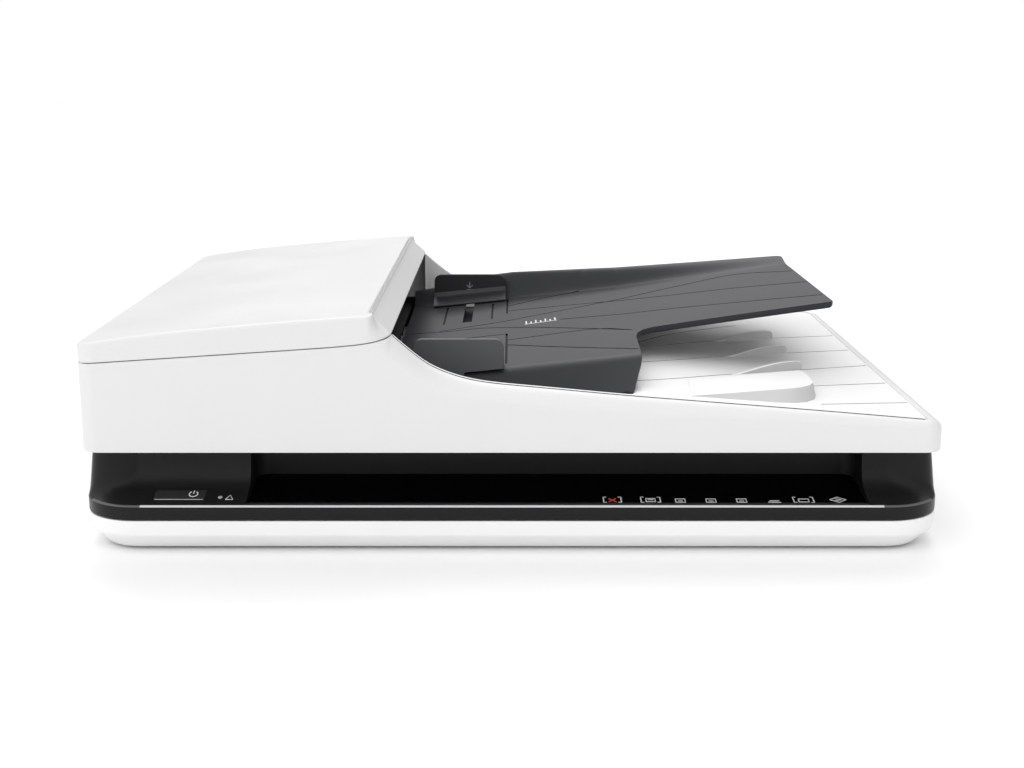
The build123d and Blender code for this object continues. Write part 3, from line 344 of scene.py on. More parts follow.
def stations(x0, x1, y0, y1, radii, xs=(), steps=10):
    """Points and outward normals round a rounded rectangle, with extra points at xs on its long sides.

    radii are the corner radii: front left, front right, rear right, rear left.
    """
    front_left, front_right, rear_right, rear_left = radii
    result = []
    front = [x for x in xs if x0 + front_left < x < x1 - front_right]
    rear = [x for x in xs if x0 + rear_left < x < x1 - rear_right]
    result += [(x, y0, 0.0, -1.0) for x in [x0 + front_left] + front + [x1 - front_right]]
    corners = (
        (x1 - front_right, y0 + front_right, front_right, -90),
        (x1 - rear_right, y1 - rear_right, rear_right, 0),
        (x0 + rear_left, y1 - rear_left, rear_left, 90),
        (x0 + front_left, y0 + front_left, front_left, 180),
    )
    for index, (cx, cy, radius, start) in enumerate(corners):
        if index == 2:
            result += [(x, y1, 0.0, 1.0) for x in reversed(rear)]
        for k in range(steps + 1):
            if (index == 0 and k == 0) or (index == 3 and k == steps):
                continue
            a = math.radians(start + 90 * k / steps)
            result.append((cx + radius * math.cos(a), cy + radius * math.sin(a), math.cos(a), math.sin(a)))
    return result


def sweep(name, places, section, cap_first=True, cap_last=True):
    """Skin from a section at every station. A section point is (inset, z)."""
    columns = []
    for x, y, nx, ny in places:
        columns.append([(x - nx * inset, y - ny * inset, z) for inset, z in section(x, y, nx, ny)])
    rings = [[column[k] for column in columns] for k in range(len(columns[0]))]
    return loft(name, rings, cap_first, cap_last)


# ---------------------------------------------------------------- materials
def add_node(tree, kind, **values):
    """New node, with values for its named inputs (underscores stand for spaces)."""
    node = tree.nodes.new(kind)
    for name, value in values.items():
        node.inputs[name.replace("_", " ")].default_value = value
    return node


def plastic(
    name, color, roughness=0.4, grain=0.06, scale=900.0, specular=0.5,
    mottle=0.02, rough_change=0.05, metallic=0.0, transmission=0.0, ior=1.46,
):
    """Surface with fine grain in the bump and a slow change in colour and roughness."""
    material = bpy.data.materials.new(name)
    material.use_nodes = True
    tree = material.node_tree
    shader = tree.nodes["Principled BSDF"]
    shader.inputs["Metallic"].default_value = metallic
    shader.inputs["Specular IOR Level"].default_value = specular
    shader.inputs["Transmission Weight"].default_value = transmission
    shader.inputs["IOR"].default_value = ior
    place = tree.nodes.new("ShaderNodeTexCoord")
    slow = add_node(tree, "ShaderNodeTexNoise", Scale=14.0, Detail=3.0)
    tree.links.new(place.outputs["Object"], slow.inputs["Vector"])
    ramp = tree.nodes.new("ShaderNodeValToRGB")
    ramp.color_ramp.interpolation = "EASE"
    for index, share in enumerate((1 - mottle, 1 + mottle)):
        element = ramp.color_ramp.elements[index]
        element.position = MOTTLE_SPAN[index]
        element.color = (*[min(c * share, 1) for c in color], 1)
    tree.links.new(slow.outputs["Fac"], ramp.inputs["Fac"])
    tree.links.new(ramp.outputs["Color"], shader.inputs["Base Color"])
    rough = add_node(
        tree, "ShaderNodeMapRange", From_Min=MOTTLE_SPAN[0], From_Max=MOTTLE_SPAN[1],
        To_Min=max(roughness - rough_change, 0.02), To_Max=roughness + rough_change,
    )
    rough.interpolation_type = "SMOOTHSTEP"
    tree.links.new(slow.outputs["Fac"], rough.inputs["Value"])
    tree.links.new(rough.outputs["Result"], shader.inputs["Roughness"])
    if grain > 0:
        fine = add_node(tree, "ShaderNodeTexNoise", Scale=scale, Detail=2.0)
        tree.links.new(place.outputs["Object"], fine.inputs["Vector"])
        bump = add_node(tree, "ShaderNodeBump", Strength=grain, Distance=GRAIN_DEPTH)
        tree.links.new(fine.outputs["Fac"], bump.inputs["Height"])
        tree.links.new(bump.outputs["Normal"], shader.inputs["Normal"])
    return material


def white(level, roughness=0.38):
    """Settings of the satin white mouldings."""
    return dict(
        color=(level,) * 3, roughness=roughness, grain=0.05, scale=1400, mottle=0.006, specular=0.35,
    )


def ink(red, green, blue, roughness=0.5, **other):
    """Settings of a plain surface without grain."""
    return dict(color=(red, green, blue), roughness=roughness, grain=0.0, **other)


def moulded(red, green, blue, roughness, grain, scale, **other):
    """Settings of a surface with grain."""
    return dict(color=(red, green, blue), roughness=roughness, grain=grain, scale=scale, **other)


MOTTLE_SPAN = (0.2, 0.8)
GRAIN_DEPTH = 0.0002
LOOKS = {
    "white_case": white(0.71),
    # Brighter copy of the white plastic: painted light on the lower band of the base, and a painted
    # highlight on the rim lip.
    "white_base_painted_bright": white(0.84),
    # Brighter copy of the white plastic: painted light on the output tray, the fin tops and the wedge top.
    "white_tray_painted_bright": white(0.86, 0.40),
    # Darker copy of the white plastic: painted shade on the upright faces of the fins and the wedge.
    "painted_shade_grey": white(0.50, 0.40),
    "black_case": moulded(0.0105, 0.0105, 0.011, 0.32, 0.08, 1300, specular=0.18, rough_change=0.015),
    "gloss_black": ink(0.0012, 0.0012, 0.0013, 0.10, mottle=0.05, rough_change=0.01, specular=0.12),
    "button_black": ink(0.030, 0.030, 0.031, 0.16, rough_change=0.03, specular=0.35),
    # Painted shade: near black for the insides of grooves, the slot beds and the guide's engraved line.
    "painted_groove_shade": ink(0.004, 0.004, 0.004, 0.6, specular=0.1),
    # Painted shade: grey for the insides of the white output tray's grooves.
    "painted_groove_shade_pale": ink(0.30, 0.30, 0.30, 0.6, specular=0.1),
    "seam_shadow": ink(0.10, 0.10, 0.10, 0.6, specular=0.1),
    # Lighter than the housing black: painted sheen on the recess lip.
    "painted_sheen_lip": ink(0.030, 0.030, 0.031, 0.34, specular=0.3),
    # Painted highlights: a light one on the front edges of the housing and the button, a fainter one round
    # the housing's corners.
    "painted_highlight_grey": ink(0.58, 0.58, 0.59, 0.30),
    "painted_faint_highlight": ink(0.085, 0.085, 0.088, 0.30),
    "print_white": ink(0.72, 0.72, 0.72),
    "print_grey": ink(0.22, 0.22, 0.23),
    "print_red": ink(0.60, 0.06, 0.06),
    "tray_grey": moulded(0.029, 0.030, 0.033, 0.42, 0.10, 1200, specular=0.16, rough_change=0.02),
    "guide_black": moulded(0.015, 0.0155, 0.017, 0.40, 0.10, 1200, specular=0.45, rough_change=0.02),
    "guide_grey": moulded(0.075, 0.077, 0.081, 0.36, 0.10, 1200, specular=0.4),
    "inner_black": moulded(0.008, 0.008, 0.008, 0.5, 0.12, 900, specular=0.2),
    "inner_grey": moulded(0.22, 0.22, 0.23, 0.5, 0.10, 900),
    "glass": ink(0.95, 0.98, 0.97, 0.03, transmission=1.0, mottle=0.0, rough_change=0.01, ior=1.5),
    "steel": moulded(0.60, 0.60, 0.61, 0.30, 0.15, 700, metallic=1.0),
    "rubber": moulded(0.022, 0.022, 0.022, 0.8, 0.5, 600, specular=0.3),
    "roller_rubber": moulded(0.085, 0.085, 0.092, 0.75, 0.4, 800, specular=0.3),
    "belt_rubber": moulded(0.03, 0.03, 0.03, 0.7, 0.4, 900, specular=0.3),
    "acetal": moulded(0.82, 0.80, 0.74, 0.35, 0.05, 900),
    "foam": moulded(0.74, 0.74, 0.72, 0.9, 0.9, 450, specular=0.1),
    "white_sheet": moulded(0.90, 0.90, 0.90, 0.22, 0.02, 900),
    "circuit_board": moulded(0.02, 0.14, 0.07, 0.35, 0.1, 500, mottle=0.15),
    "light_pipe": ink(0.55, 0.55, 0.56, 0.15, mottle=0.02, rough_change=0.02),
}
MATERIALS = {name: plastic(name, **look) for name, look in LOOKS.items()}


def give_looks(obj, *names):
    for name in names:
        obj.data.materials.append(MATERIALS[name])


def finish_piece(obj, body, material, nodes=(), angle=28.0):
    """Material, shading, body, replaced nodes and material slot of one visual piece."""
    if not obj.data.materials:
        give_looks(obj, material)
    shade(obj, angle)
    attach(obj, body)
    if nodes:
        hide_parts(*nodes)
    return obj


def cut_grooves(obj, lines, width, depth, material, line_material):
    """Engraved lines whose own faces take a second, darker material: painted shade in the grooves."""
    give_looks(obj, material, line_material)
    for line in lines:
        cutter = prism("cut", band_outline(smooth_line(line), width), -depth, 2)
        give_looks(cutter, material, line_material)
        cutter.data.polygons.foreach_set("material_index", [1] * len(cutter.data.polygons))
        boolean(obj, cutter)
    return obj


# ---------------------------------------------------------------- base
front_inset = spline_function((
    (26.4, 0.6), (27.4, 5.0), (29.2, 12.0), (31.0, 17.0), (33.5, 20.2), (37.0, 22.3),
    (42.0, 23.7), (48.0, 24.4), (51.6, 24.6),
))
side_inset = line_function(((25.6, 0.0), (29.0, 0.4), (38.0, 1.4), (46.0, 2.3), (51.6, 3.0)))
BASE_Y0, BASE_Y1 = BASE_LOW.y, BASE_HIGH.y
BASE_HALF = BASE_HIGH.x
BASE_PLACES = stations(-BASE_HALF, BASE_HALF, BASE_Y0, BASE_Y1, [BASE_CORNER] * 4, steps=18)


def bottom_section(x, y, nx, ny):
    """White band: upright above, a sloping lower face below, and an inner wall."""
    low = BASE_LOW.z
    lower_face = [(12.0, low), (9.6, low), (8.9, low + 0.25), (8.3, low + 0.8), (1.5, 8.9)]
    band = [(0.7, 9.6), (0.2, 10.3), (0, 11.2), (0, CASE_SEAM - 0.7), (0.25, CASE_SEAM - 0.25)]
    inside = [
        (1.2, CASE_SEAM - 0.1), (2.5, CASE_SEAM - 0.1), (2.5, 11.5), (4.0, 9.6), (10.5, low + 2.5),
    ]
    return lower_face + band + inside


PORT_GAP = 0.3


def cut_ports(obj, span, start_y):
    """Openings for the rear connectors; span gives their lowest and highest z."""
    for low, high in PORTS:
        z0, z1 = span(low.z - PORT_GAP, high.z + PORT_GAP)
        corners = rectangle(low.x - PORT_GAP, high.x + PORT_GAP, z0, z1)
        boolean(obj, prism("cut", corners, start_y, BASE_Y1 + 2, "y"))


bottom = sweep("base_bottom_shell_skin", BASE_PLACES, bottom_section)
cut_ports(bottom, lambda low, high: (low, CASE_SEAM + 1), BASE_Y1 - 8)
for screw_x in (-204, 0, 204):
    for screw_y in (-122.5, 152):
        boolean(bottom, prism("cut", circle_outline(screw_x, screw_y, 3.4), -1, BASE_LOW.z + 2.6))
# The base band takes the brighter white: painted light.
finish_piece(bottom, "base", "white_base_painted_bright", ["base_bottom_shell"])

BEZEL_LEVELS = (26.65, 26.95, 27.4, 28.2, 29.2, 30.1, 31.0, 32.2, 33.5, 35, 37, 39.5, 42, 45, 48, 50.5)
BEZEL_SHOULDER = 51.6


def bezel_section(x, y, nx, ny):
    """Dark upper housing: deep ledge at the front, slight draft on the other sides."""
    share = smooth(max(-ny, 0.0) ** 1.1)
    low = CASE_SEAM + 0.15
    points = [(6.0, low), (0.9, low), (0.25, low + 0.2), (0.0, low + 0.7)]
    points += [(0.0, 22.5), (0.0, 25.6), (0.12, 26.05), (0.6 * share + 0.2 * (1 - share), 26.4)]
    for z in BEZEL_LEVELS:
        points.append((share * front_inset(z) + (1 - share) * max(side_inset(z), 0.2), z))
    top_inset = share * front_inset(BEZEL_SHOULDER) + (1 - share) * side_inset(BEZEL_SHOULDER)
    points += [(top_inset, 51.8), (top_inset + 0.2, 52.3), (top_inset + 0.7, BEZEL_HIGH.z)]
    return points


bezel = sweep("base_bezel_skin", BASE_PLACES, bezel_section)

# Hinge sockets on the rear wall, each with a slot for its lifting post.
SOCKET_HALF = 18
POST_HALF = 13.3
for hinge_x in (-150.0, 150.0):
    x0, x1 = hinge_x - SOCKET_HALF, hinge_x + SOCKET_HALF
    foot_z = CASE_SEAM + 0.15
    outline = [(x0, foot_z), (x1, foot_z), (x1, 51.5), (x1 - 1, 52.5), (x0 + 1, 52.5), (x0, 51.5)]
    boolean(bezel, prism("socket", outline, 150, BEZEL_HIGH.y, "y"), "UNION")
    boolean(bezel, prism("slot", rectangle(hinge_x - POST_HALF, hinge_x + POST_HALF, 165.5, 172.5), 21, 60))

# Hollow inside, ports, windows over the glass.
CEILING = 49.5
boolean(bezel, prism("cut", rounded_outline(-218, 218, -128.5, 157, 20), 10, CEILING))
cut_ports(bezel, lambda low, high: (CASE_SEAM - 1, high), 152)
for low, high in WINDOWS:
    x0, x1 = low.x + GLASS_LAP, high.x - GLASS_LAP
    y0, y1 = low.y + GLASS_LAP, high.y - GLASS_LAP
    boolean(bezel, prism("cut", rounded_outline(x0, x1, y0, y1, 1.5), CEILING - 4.5, 60))

# Panel recess with rounded ends, its floor just under the glossy overlay.
RECESS_FLOOR = 0.8
recess_line = [
    (-190.0, LID_LOW.z + 10), (-190.0, PANEL_LOW.z + RECESS_FLOOR + 0.4),
    (PANEL_LOW.y, PANEL_LOW.z + RECESS_FLOOR + 0.35), (PANEL_LOW.y, PANEL_LOW.z - 0.05),
    (PANEL_HIGH.y + 0.05, PANEL_HIGH.z - RECESS_FLOOR - 0.05), (PANEL_HIGH.y + 0.05, LID_LOW.z + 10),
]
recess = prism("cut", recess_line, PANEL_LOW.x, PANEL_HIGH.x, "x")
round_edges(recess, lambda m: abs(m.y - PANEL_HIGH.y) < 0.3 and m.z > PANEL_HIGH.z + 1, 7.0, 8)
boolean(bezel, recess)
KEY_GAP = 0.3
key_opening = rectangle(
    BUTTON_LOW.x - KEY_GAP, BUTTON_HIGH.x + KEY_GAP, BUTTON_LOW.y - KEY_GAP, BUTTON_HIGH.y + KEY_GAP,
)
boolean(bezel, prism("cut", key_opening, 23, 40))
light_x, light_y = (LIGHT_LOW.x + LIGHT_HIGH.x) / 2, (LIGHT_LOW.y + LIGHT_HIGH.y) / 2
boolean(bezel, prism("cut", circle_outline(light_x, light_y, 1.2, 24), 20, 40))


def recess_rim(m):
    """Edges where the recess meets the ledge and the top of the housing."""
    at_side = min(abs(m.x - PANEL_LOW.x), abs(m.x - PANEL_HIGH.x)) < 0.4 and m.z > 26.6 and m.y < -132
    return at_side and m.z < 52


round_edges(bezel, recess_rim, 0.45, 3)
finish_piece(bezel, "base", "black_case", ["base_bezel"], angle=32)

# Glossy overlay in the recess, with simple generic symbols printed on it.
overlay_slope = (PANEL_HIGH.z - RECESS_FLOOR - PANEL_LOW.z) / (PANEL_HIGH.y - PANEL_LOW.y)


def overlay_ring(side_gap, end_gap, front_z, rear_z):
    x0, x1 = PANEL_LOW.x + side_gap, PANEL_HIGH.x - side_gap
    y0, y1 = PANEL_LOW.y + end_gap, PANEL_HIGH.y - end_gap
    return [(x0, y0, front_z), (x1, y0, front_z), (x1, y1, rear_z), (x0, y1, rear_z)]


panel_front_z = PANEL_LOW.z + RECESS_FLOOR
overlay = loft("panel_overlay_skin", [
    overlay_ring(0.15, 0.1, PANEL_LOW.z, PANEL_HIGH.z - RECESS_FLOOR),
    overlay_ring(0.15, 0.1, panel_front_z - 0.1, PANEL_HIGH.z - 0.1),
    overlay_ring(0.35, 0.3, panel_front_z, PANEL_HIGH.z),
])
finish_piece(overlay, "base", "gloss_black", ["panel_overlay"], angle=10)


def panel_z(y):
    return panel_front_z + overlay_slope * (y - PANEL_LOW.y)


def symbol(name, lines, place, body, material, width=0.45, thick=0.12):
    """Raised print: flat bands along lines of (a, b), laid on a surface by place(a, b, lift)."""
    parts = []
    for index, line in enumerate(lines):
        outline = band_outline(line, width)
        levels = [[place(a, b, lift) for a, b in outline] for lift in (-0.03, thick)]
        parts.append(loft(f"{name}_{index}", levels))
    piece = join(parts[0], *parts[1:])
    piece.name = name
    return finish_piece(piece, body, material, angle=40)


def arc_line(cx, cy, rx, ry, start, end, steps=20):
    return [
        (cx + rx * math.cos(math.radians(start + (end - start) * k / steps)),
         cy + ry * math.sin(math.radians(start + (end - start) * k / steps)))
        for k in range(steps + 1)
    ]


# Power button: sloped glossy key with a power symbol near its right end.
KEY_FRONT_Z = 28.4
key_slope = (BUTTON_HIGH.z - KEY_FRONT_Z) / (BUTTON_HIGH.y - BUTTON_LOW.y)


def key_z(y):
    return KEY_FRONT_Z + key_slope * (y - BUTTON_LOW.y)


def key_ring(inset, drop):
    """Outline of the key, a given distance below its top or at its foot."""
    outline = rounded_outline(
        BUTTON_LOW.x + inset, BUTTON_HIGH.x - inset, BUTTON_LOW.y + inset, BUTTON_HIGH.y - inset, 1.0, 4,
    )
    return [(x, y, 24.2 if drop is None else key_z(y) - drop) for x, y in outline]


button = loft("power_button_skin", [
    key_ring(inset, drop) for inset, drop in ((0.0, None), (0.0, 0.5), (0.15, 0.15), (0.5, 0.0))
])
finish_piece(button, "button", "button_black", ["power_button"], angle=30)
LEDGE_LEVELS = [26.4, 27.4, 28.2, 29.2, 30.1, 31.0]


def on_button(x, y, lift):
    return (x, y, key_z(y) + lift)


def on_panel(x, y, lift):
    return (x, y, panel_z(y) + lift)


def on_ledge(x, y, lift):
    """Front ledge of the housing beside the recess."""
    z = float(np.interp(y - BASE_Y0, [front_inset(v) for v in LEDGE_LEVELS], LEDGE_LEVELS))
    return (x, y, z + lift)


power_x = BUTTON_HIGH.x - 6.6
power_y = (BUTTON_LOW.y + BUTTON_HIGH.y) / 2 + 0.2
symbol("power_symbol", [
    arc_line(power_x, power_y, 2.2, 2.5, 125, 415), [(power_x, power_y + 0.4), (power_x, power_y + 3.1)],
], on_button, "button", "print_white", 0.55)
symbol("status_symbol", [
    [(-149.0, -168.6), (-145.2, -168.6), (-147.1, -164.4), (-149.0, -168.6)],
], on_ledge, "base", "print_white", 0.45)

# Painted highlight: a light line on the front edge of the button.
edge_x = (BUTTON_LOW.x + 1.0, BUTTON_HIGH.x - 1.0)
edge = loft("power_button_edge_highlight", [
    [(x, BUTTON_LOW.y + 0.02, z) for x in edge_x] + [(x, BUTTON_LOW.y + 0.4, z + 0.15) for x in edge_x[::-1]]
    for z in (27.7, 28.16)
])
finish_piece(edge, "button", "painted_highlight_grey", angle=30)

# Painted highlight along the front edge of the housing: bright in the middle, darker round the corners.
EDGE_SECTION = (
    (0.0, 25.75), (0.02, 26.02), (0.10, 26.22), (0.50, 26.50), (1.1, 26.62), (1.1, 26.2), (0.6, 25.7),
)
BRIGHT_HALF = 192.0


def highlight_band(name, places, material):
    rings = [[(x - nx * i, y - ny * i, z) for i, z in EDGE_SECTION] for x, y, nx, ny in places]
    return finish_piece(loft(name, rings), "base", material, angle=50)


corner_places = sorted((p for p in BASE_PLACES if p[3] < -0.55), key=lambda p: p[0])
joint_places = [(x, BASE_Y0, 0.0, -1.0) for x in (-BRIGHT_HALF, BRIGHT_HALF)]
left_places = [p for p in corner_places if p[0] < -BRIGHT_HALF]
right_places = [p for p in corner_places if p[0] > BRIGHT_HALF]
highlight_band("front_edge_highlight_left", left_places + joint_places[:1], "painted_faint_highlight")
highlight_band("front_edge_highlight_middle", joint_places, "painted_highlight_grey")
highlight_band("front_edge_highlight_right", joint_places[1:] + right_places, "painted_faint_highlight")

# Lip between that line and the glossy overlay, lighter than the housing: painted sheen on its rounded edge.
LIP_SECTION = ((0.9, 25.6), (0.9, 26.52), (3.0, 26.45), (7.4, 25.95), (7.45, 25.6))
lip = loft("recess_front_lip", [
    [(x, BASE_Y0 + inset, z) for inset, z in LIP_SECTION] for x in (PANEL_LOW.x + 0.1, PANEL_HIGH.x - 0.1)
])
finish_piece(lip, "base", "painted_sheen_lip", angle=30)


# Generic printed symbols of the touch panel.
def brackets(cx, half, low, high):
    arm = 1.5
    return [
        [(cx - half + arm, low), (cx - half, low), (cx - half, high), (cx - half + arm, high)],
        [(cx + half - arm, low), (cx + half, low), (cx + half, high), (cx + half - arm, high)],
    ]


def box_line(cx, half, low, high):
    return rectangle(cx - half, cx + half, low, high) + [(cx - half, low + 0.01)]


def panel_symbol(name, lines, material="print_white", width=0.6):
    symbol(name, lines, on_panel, "base", material, width)


ICON_LOW, ICON_HIGH = -166.6, -160.4
ICON_MID = (ICON_LOW + ICON_HIGH) / 2
panel_symbol("cancel_brackets", brackets(52.5, 4.6, ICON_LOW, ICON_HIGH))
panel_symbol("cancel_cross", [
    [(50.6, ICON_LOW + 0.6), (54.4, ICON_HIGH - 1.6)], [(50.6, ICON_HIGH - 1.6), (54.4, ICON_LOW + 0.6)],
], "print_red", 0.8)
panel_symbol("scan_brackets", brackets(72.5, 5.0, ICON_LOW, ICON_HIGH) + [
    box_line(72.5, 2.4, ICON_LOW + 0.8, ICON_HIGH - 1.6), [(71.0, ICON_MID), (74.0, ICON_MID)],
])
for number, cx in enumerate((88.0, 104.0, 120.0)):
    panel_symbol(f"page_symbol_{number + 1}", [
        box_line(cx, 2.5, ICON_LOW, ICON_MID + 1.0),
        [(cx - 1.2, ICON_LOW + 1.6), (cx + 1.2, ICON_LOW + 1.6)],
    ])
panel_symbol("stack_symbol", [
    [(133.6, ICON_LOW), (140.4, ICON_LOW)], [(134.4, ICON_LOW + 1.7), (139.6, ICON_LOW + 1.7)],
])
panel_symbol("copy_symbol", brackets(152.5, 5.2, ICON_LOW, ICON_HIGH) + [
    box_line(152.5, 2.6, ICON_LOW + 0.4, ICON_MID + 0.9),
])
panel_symbol("start_symbol", [
    [(166.4, ICON_MID), (170.6, ICON_HIGH), (174.8, ICON_MID), (170.6, ICON_LOW), (166.4, ICON_MID)],
    [(169.2, ICON_MID - 1.2), (172.4, ICON_MID), (169.2, ICON_MID + 1.2)],
])

# ---------------------------------------------------------------- lid
LID_X0, LID_X1, LID_Y0, LID_Y1 = LID_LOW.x, LID_HIGH.x, LID_LOW.y, LID_HIGH.y
LID_FLOOR_Z = LID_LOW.z + 3.0
lid_xs = sorted(set(
    every(12, -200, -76) + every(1.5, -75, -20) + every(4, -20, 212) + [MOUTH_X, MOUTH_X + 0.4, SHOULDER_X]
))
LID_PLACES = stations(LID_X0, LID_X1, LID_Y0, LID_Y1, [LID_CORNER] * 4, lid_xs, 12)
SHARP_FILLET = 0.35


def fillet_at(x):
    """Width and drop of the rounded upper edge of the lid."""
    if x >= MOUTH_X:
        return fillet_width(x), fillet_drop(x)
    run = x - (MOUTH_X - COVER_FRONT_CORNER)
    if run <= 0:
        return SHARP_FILLET, SHARP_FILLET
    inset = COVER_FRONT_CORNER - math.sqrt(max(COVER_FRONT_CORNER**2 - run**2, 0))
    drop = SHARP_FILLET + 13.65 * smooth(run / COVER_FRONT_CORNER)
    return max(inset, SHARP_FILLET), drop


def lid_section(x, y, nx, ny):
    """Lid wall: outside face, rounded upper edge, a groove and a lip beside it, and the inside."""
    width, drop = fillet_at(x)
    low = LID_LOW.z
    top = rim_z(x - nx * width) if x > MOUTH_X else seam_z(x)
    points = [(3.5, low), (0.9, low), (0.25, low + 0.15), (0, low + 0.7), (0, low + 3)]
    for k in range(11):
        a = math.radians(90 * k / 10)
        points.append((width * (1 - math.cos(a)), top - drop * (1 - math.sin(a))))
    groove = 0.45 if x > MOUTH_X + 3 and nx < 0.6 else 0.02
    points += [(width + 0.1, top), (width + 0.25, top - groove)]
    points += [(width + 0.55, top - groove), (width + 0.7, top + 0.02)]
    lip = max(width + (1.9 if x > MOUTH_X else 3.0), 3.0)
    points += [(lip - 0.25, top + 0.02), (lip, top - 0.25), (lip, top - 5)]
    return points + [(lip, LID_FLOOR_Z + 2), (lip + 1, LID_FLOOR_Z)]


lid = sweep("lid_shell_skin", LID_PLACES, lid_section)
FEEDER_SLOT = rounded_outline(-175, -155, -108, 108, 3)
boolean(lid, prism("cut", FEEDER_SLOT, 50, 60))
BARREL_X, BARREL_Z = -220.3, 100.2
boolean(lid, prism("cut", circle_outline(BARREL_X, BARREL_Z, 2.8, 24), LID_Y0 + 9.5, LID_Y1 - 9.5, "y"))
finish_piece(lid, "lid", "white_case", ["lid_shell"], angle=30)


def rim_strip(name, side, section, material):
    """Thin strip along the inner edge of the rim, on the front or the rear side."""
    rings = []
    y = LID_Y0 if side < 0 else LID_Y1
    for x in [MOUTH_X + 0.6] + every(3, -60, 216):
        width = fillet_at(x)[0]
        rings.append([(x, y - side * (width + inset), rim_z(x) + lift) for inset, lift in section])
    return finish_piece(loft(name, rings), "lid", material, angle=35)


GROOVE_STRIP = ((0.10, -0.3), (0.10, 0.02), (0.30, 0.36), (0.9, 0.36), (0.9, -0.3))
LIP_STRIP = ((0.40, 0.30), (0.42, 0.50), (0.70, 0.66), (1.6, 0.66), (1.95, 0.45), (2.0, -0.6), (0.9, -0.6))
# Dark groove strips (seam shadow) and bright lip strips (painted highlight) along the rim.
for side, place in ((-1, "front"), (1, "rear")):
    rim_strip(f"rim_line_{place}", side, GROOVE_STRIP, "seam_shadow")
    rim_strip(f"rim_lip_{place}", side, LIP_STRIP, "white_base_painted_bright")

# ---------------------------------------------------------------- cover
cover_top = spline_function(((-222.8, 110.0), (-185, 115.4), (-148, 119.1), (-110, 122.4), (-71.6, 125.0)))
COVER_EDGE = 2.2
COVER_WALL = 2.4
COVER_PLACES = stations(
    LID_X0, MOUTH_X, LID_Y0, LID_Y1,
    [LID_CORNER, COVER_FRONT_CORNER, COVER_FRONT_CORNER, LID_CORNER], every(6, -212, -76), 16,
)
# The right face leans by this much, and the left lower edge is cut back by the rise,
# because it swings down when the cover opens.
SLANT = MOUTH_X - SHOULDER_X
HINGE_RISE = 2.2


def cover_wall(x, nx):
    """Section of the cover's wall: up its outside to the crisp upper edge, and down its inside."""
    low = seam_z(x) + 0.4
    slant = SLANT * smooth(nx)
    rise = HINGE_RISE * smooth((-nx - 0.7) / 0.25)
    top = cover_top(min(x - nx * (slant + COVER_EDGE), SHOULDER_X))
    lip = low + 1.1 + rise
    edge_z = top - COVER_EDGE * 0.7
    outside = [(2.6, low + 0.2), (0.8, low + 0.75 * rise), (0.2, low + 0.12 + 0.95 * rise)]
    outside += [(0, low + 0.5 + rise), (0, lip)]
    outside += [(slant * t, lip + (edge_z - lip) * t) for t in (0.25, 0.5, 0.75)]
    for k in range(6):
        a = math.radians(90 * k / 5)
        outside.append((slant + COVER_EDGE * (1 - math.cos(a)), edge_z + COVER_EDGE * 0.7 * math.sin(a)))
    inside = [
        (slant + COVER_EDGE + 0.15, top - COVER_WALL), (slant * 0.5 + COVER_WALL, (top + low) / 2),
        (2.6, low + 0.3),
    ]
    return outside, inside


def cover_cap(name, places):
    """Cover: swept wall, closed on top by strips that follow its curve, hollow below."""
    columns = []
    for x, y, nx, ny in places:
        outside, inside = cover_wall(x, nx)
        outer = len(outside)
        columns.append([(x - nx * i, y - ny * i, z) for i, z in outside + inside])
    count = len(places)
    height = len(columns[0])
    vertices = [column[k] for k in range(height) for column in columns]
    centre_y = (LID_Y0 + LID_Y1) / 2
    rear = [i for i in range(count) if places[i][1] > centre_y]
    front = list(range(rear[-1] + 1, count)) + list(range(rear[0]))
    faces = []
    for r in range(height):
        if r == outer - 1:
            continue
        for i in range(count):
            j = (i + 1) % count
            above = (r + 1) % height
            faces.append((r * count + i, r * count + j, above * count + j, above * count + i))
    for row in (outer - 1, outer):
        base = row * count
        for a, b, c, d in zip(front, front[1:], rear[::-1][1:], rear[::-1]):
            faces.append((base + a, base + b, base + c, base + d))
    return object_from(name, vertices, faces)


cover = cover_cap("feeder_cover_skin", COVER_PLACES)
finish_piece(cover, "cover", "white_case", ["feeder_cover"], angle=26)
barrel_outline = circle_outline(BARREL_X, BARREL_Z, 2.45, 28)
barrel = prism("cover_hinge_barrel", barrel_outline, LID_Y0 + 10, LID_Y1 - 10, "y")
finish_piece(barrel, "cover", "white_case")

# ---------------------------------------------------------------- output tray
OUTPUT_LEFT = -84.0
CREST_X = 66.0
CREST_RUN = 14
RIM_STEP = 0.3


def output_z(x):
    """Top of the output tray: a valley under the input tray, a crest, and a gentle fall to the right."""
    if x < CREST_X:
        return output_left_z(x)
    if x > CREST_X + CREST_RUN:
        return rim_z(x) - RIM_STEP
    crest, start = OUTPUT_LINE[-1][1], rim_z(CREST_X + CREST_RUN) - RIM_STEP
    return crest + (start - crest) * (x - CREST_X) / CREST_RUN


def inner_edge(x):
    """Distance from the lid's front or rear face to the inner edge of its rim."""
    return max(fillet_at(max(x, MOUTH_X + 0.01))[0] + 2.15, 3.3)


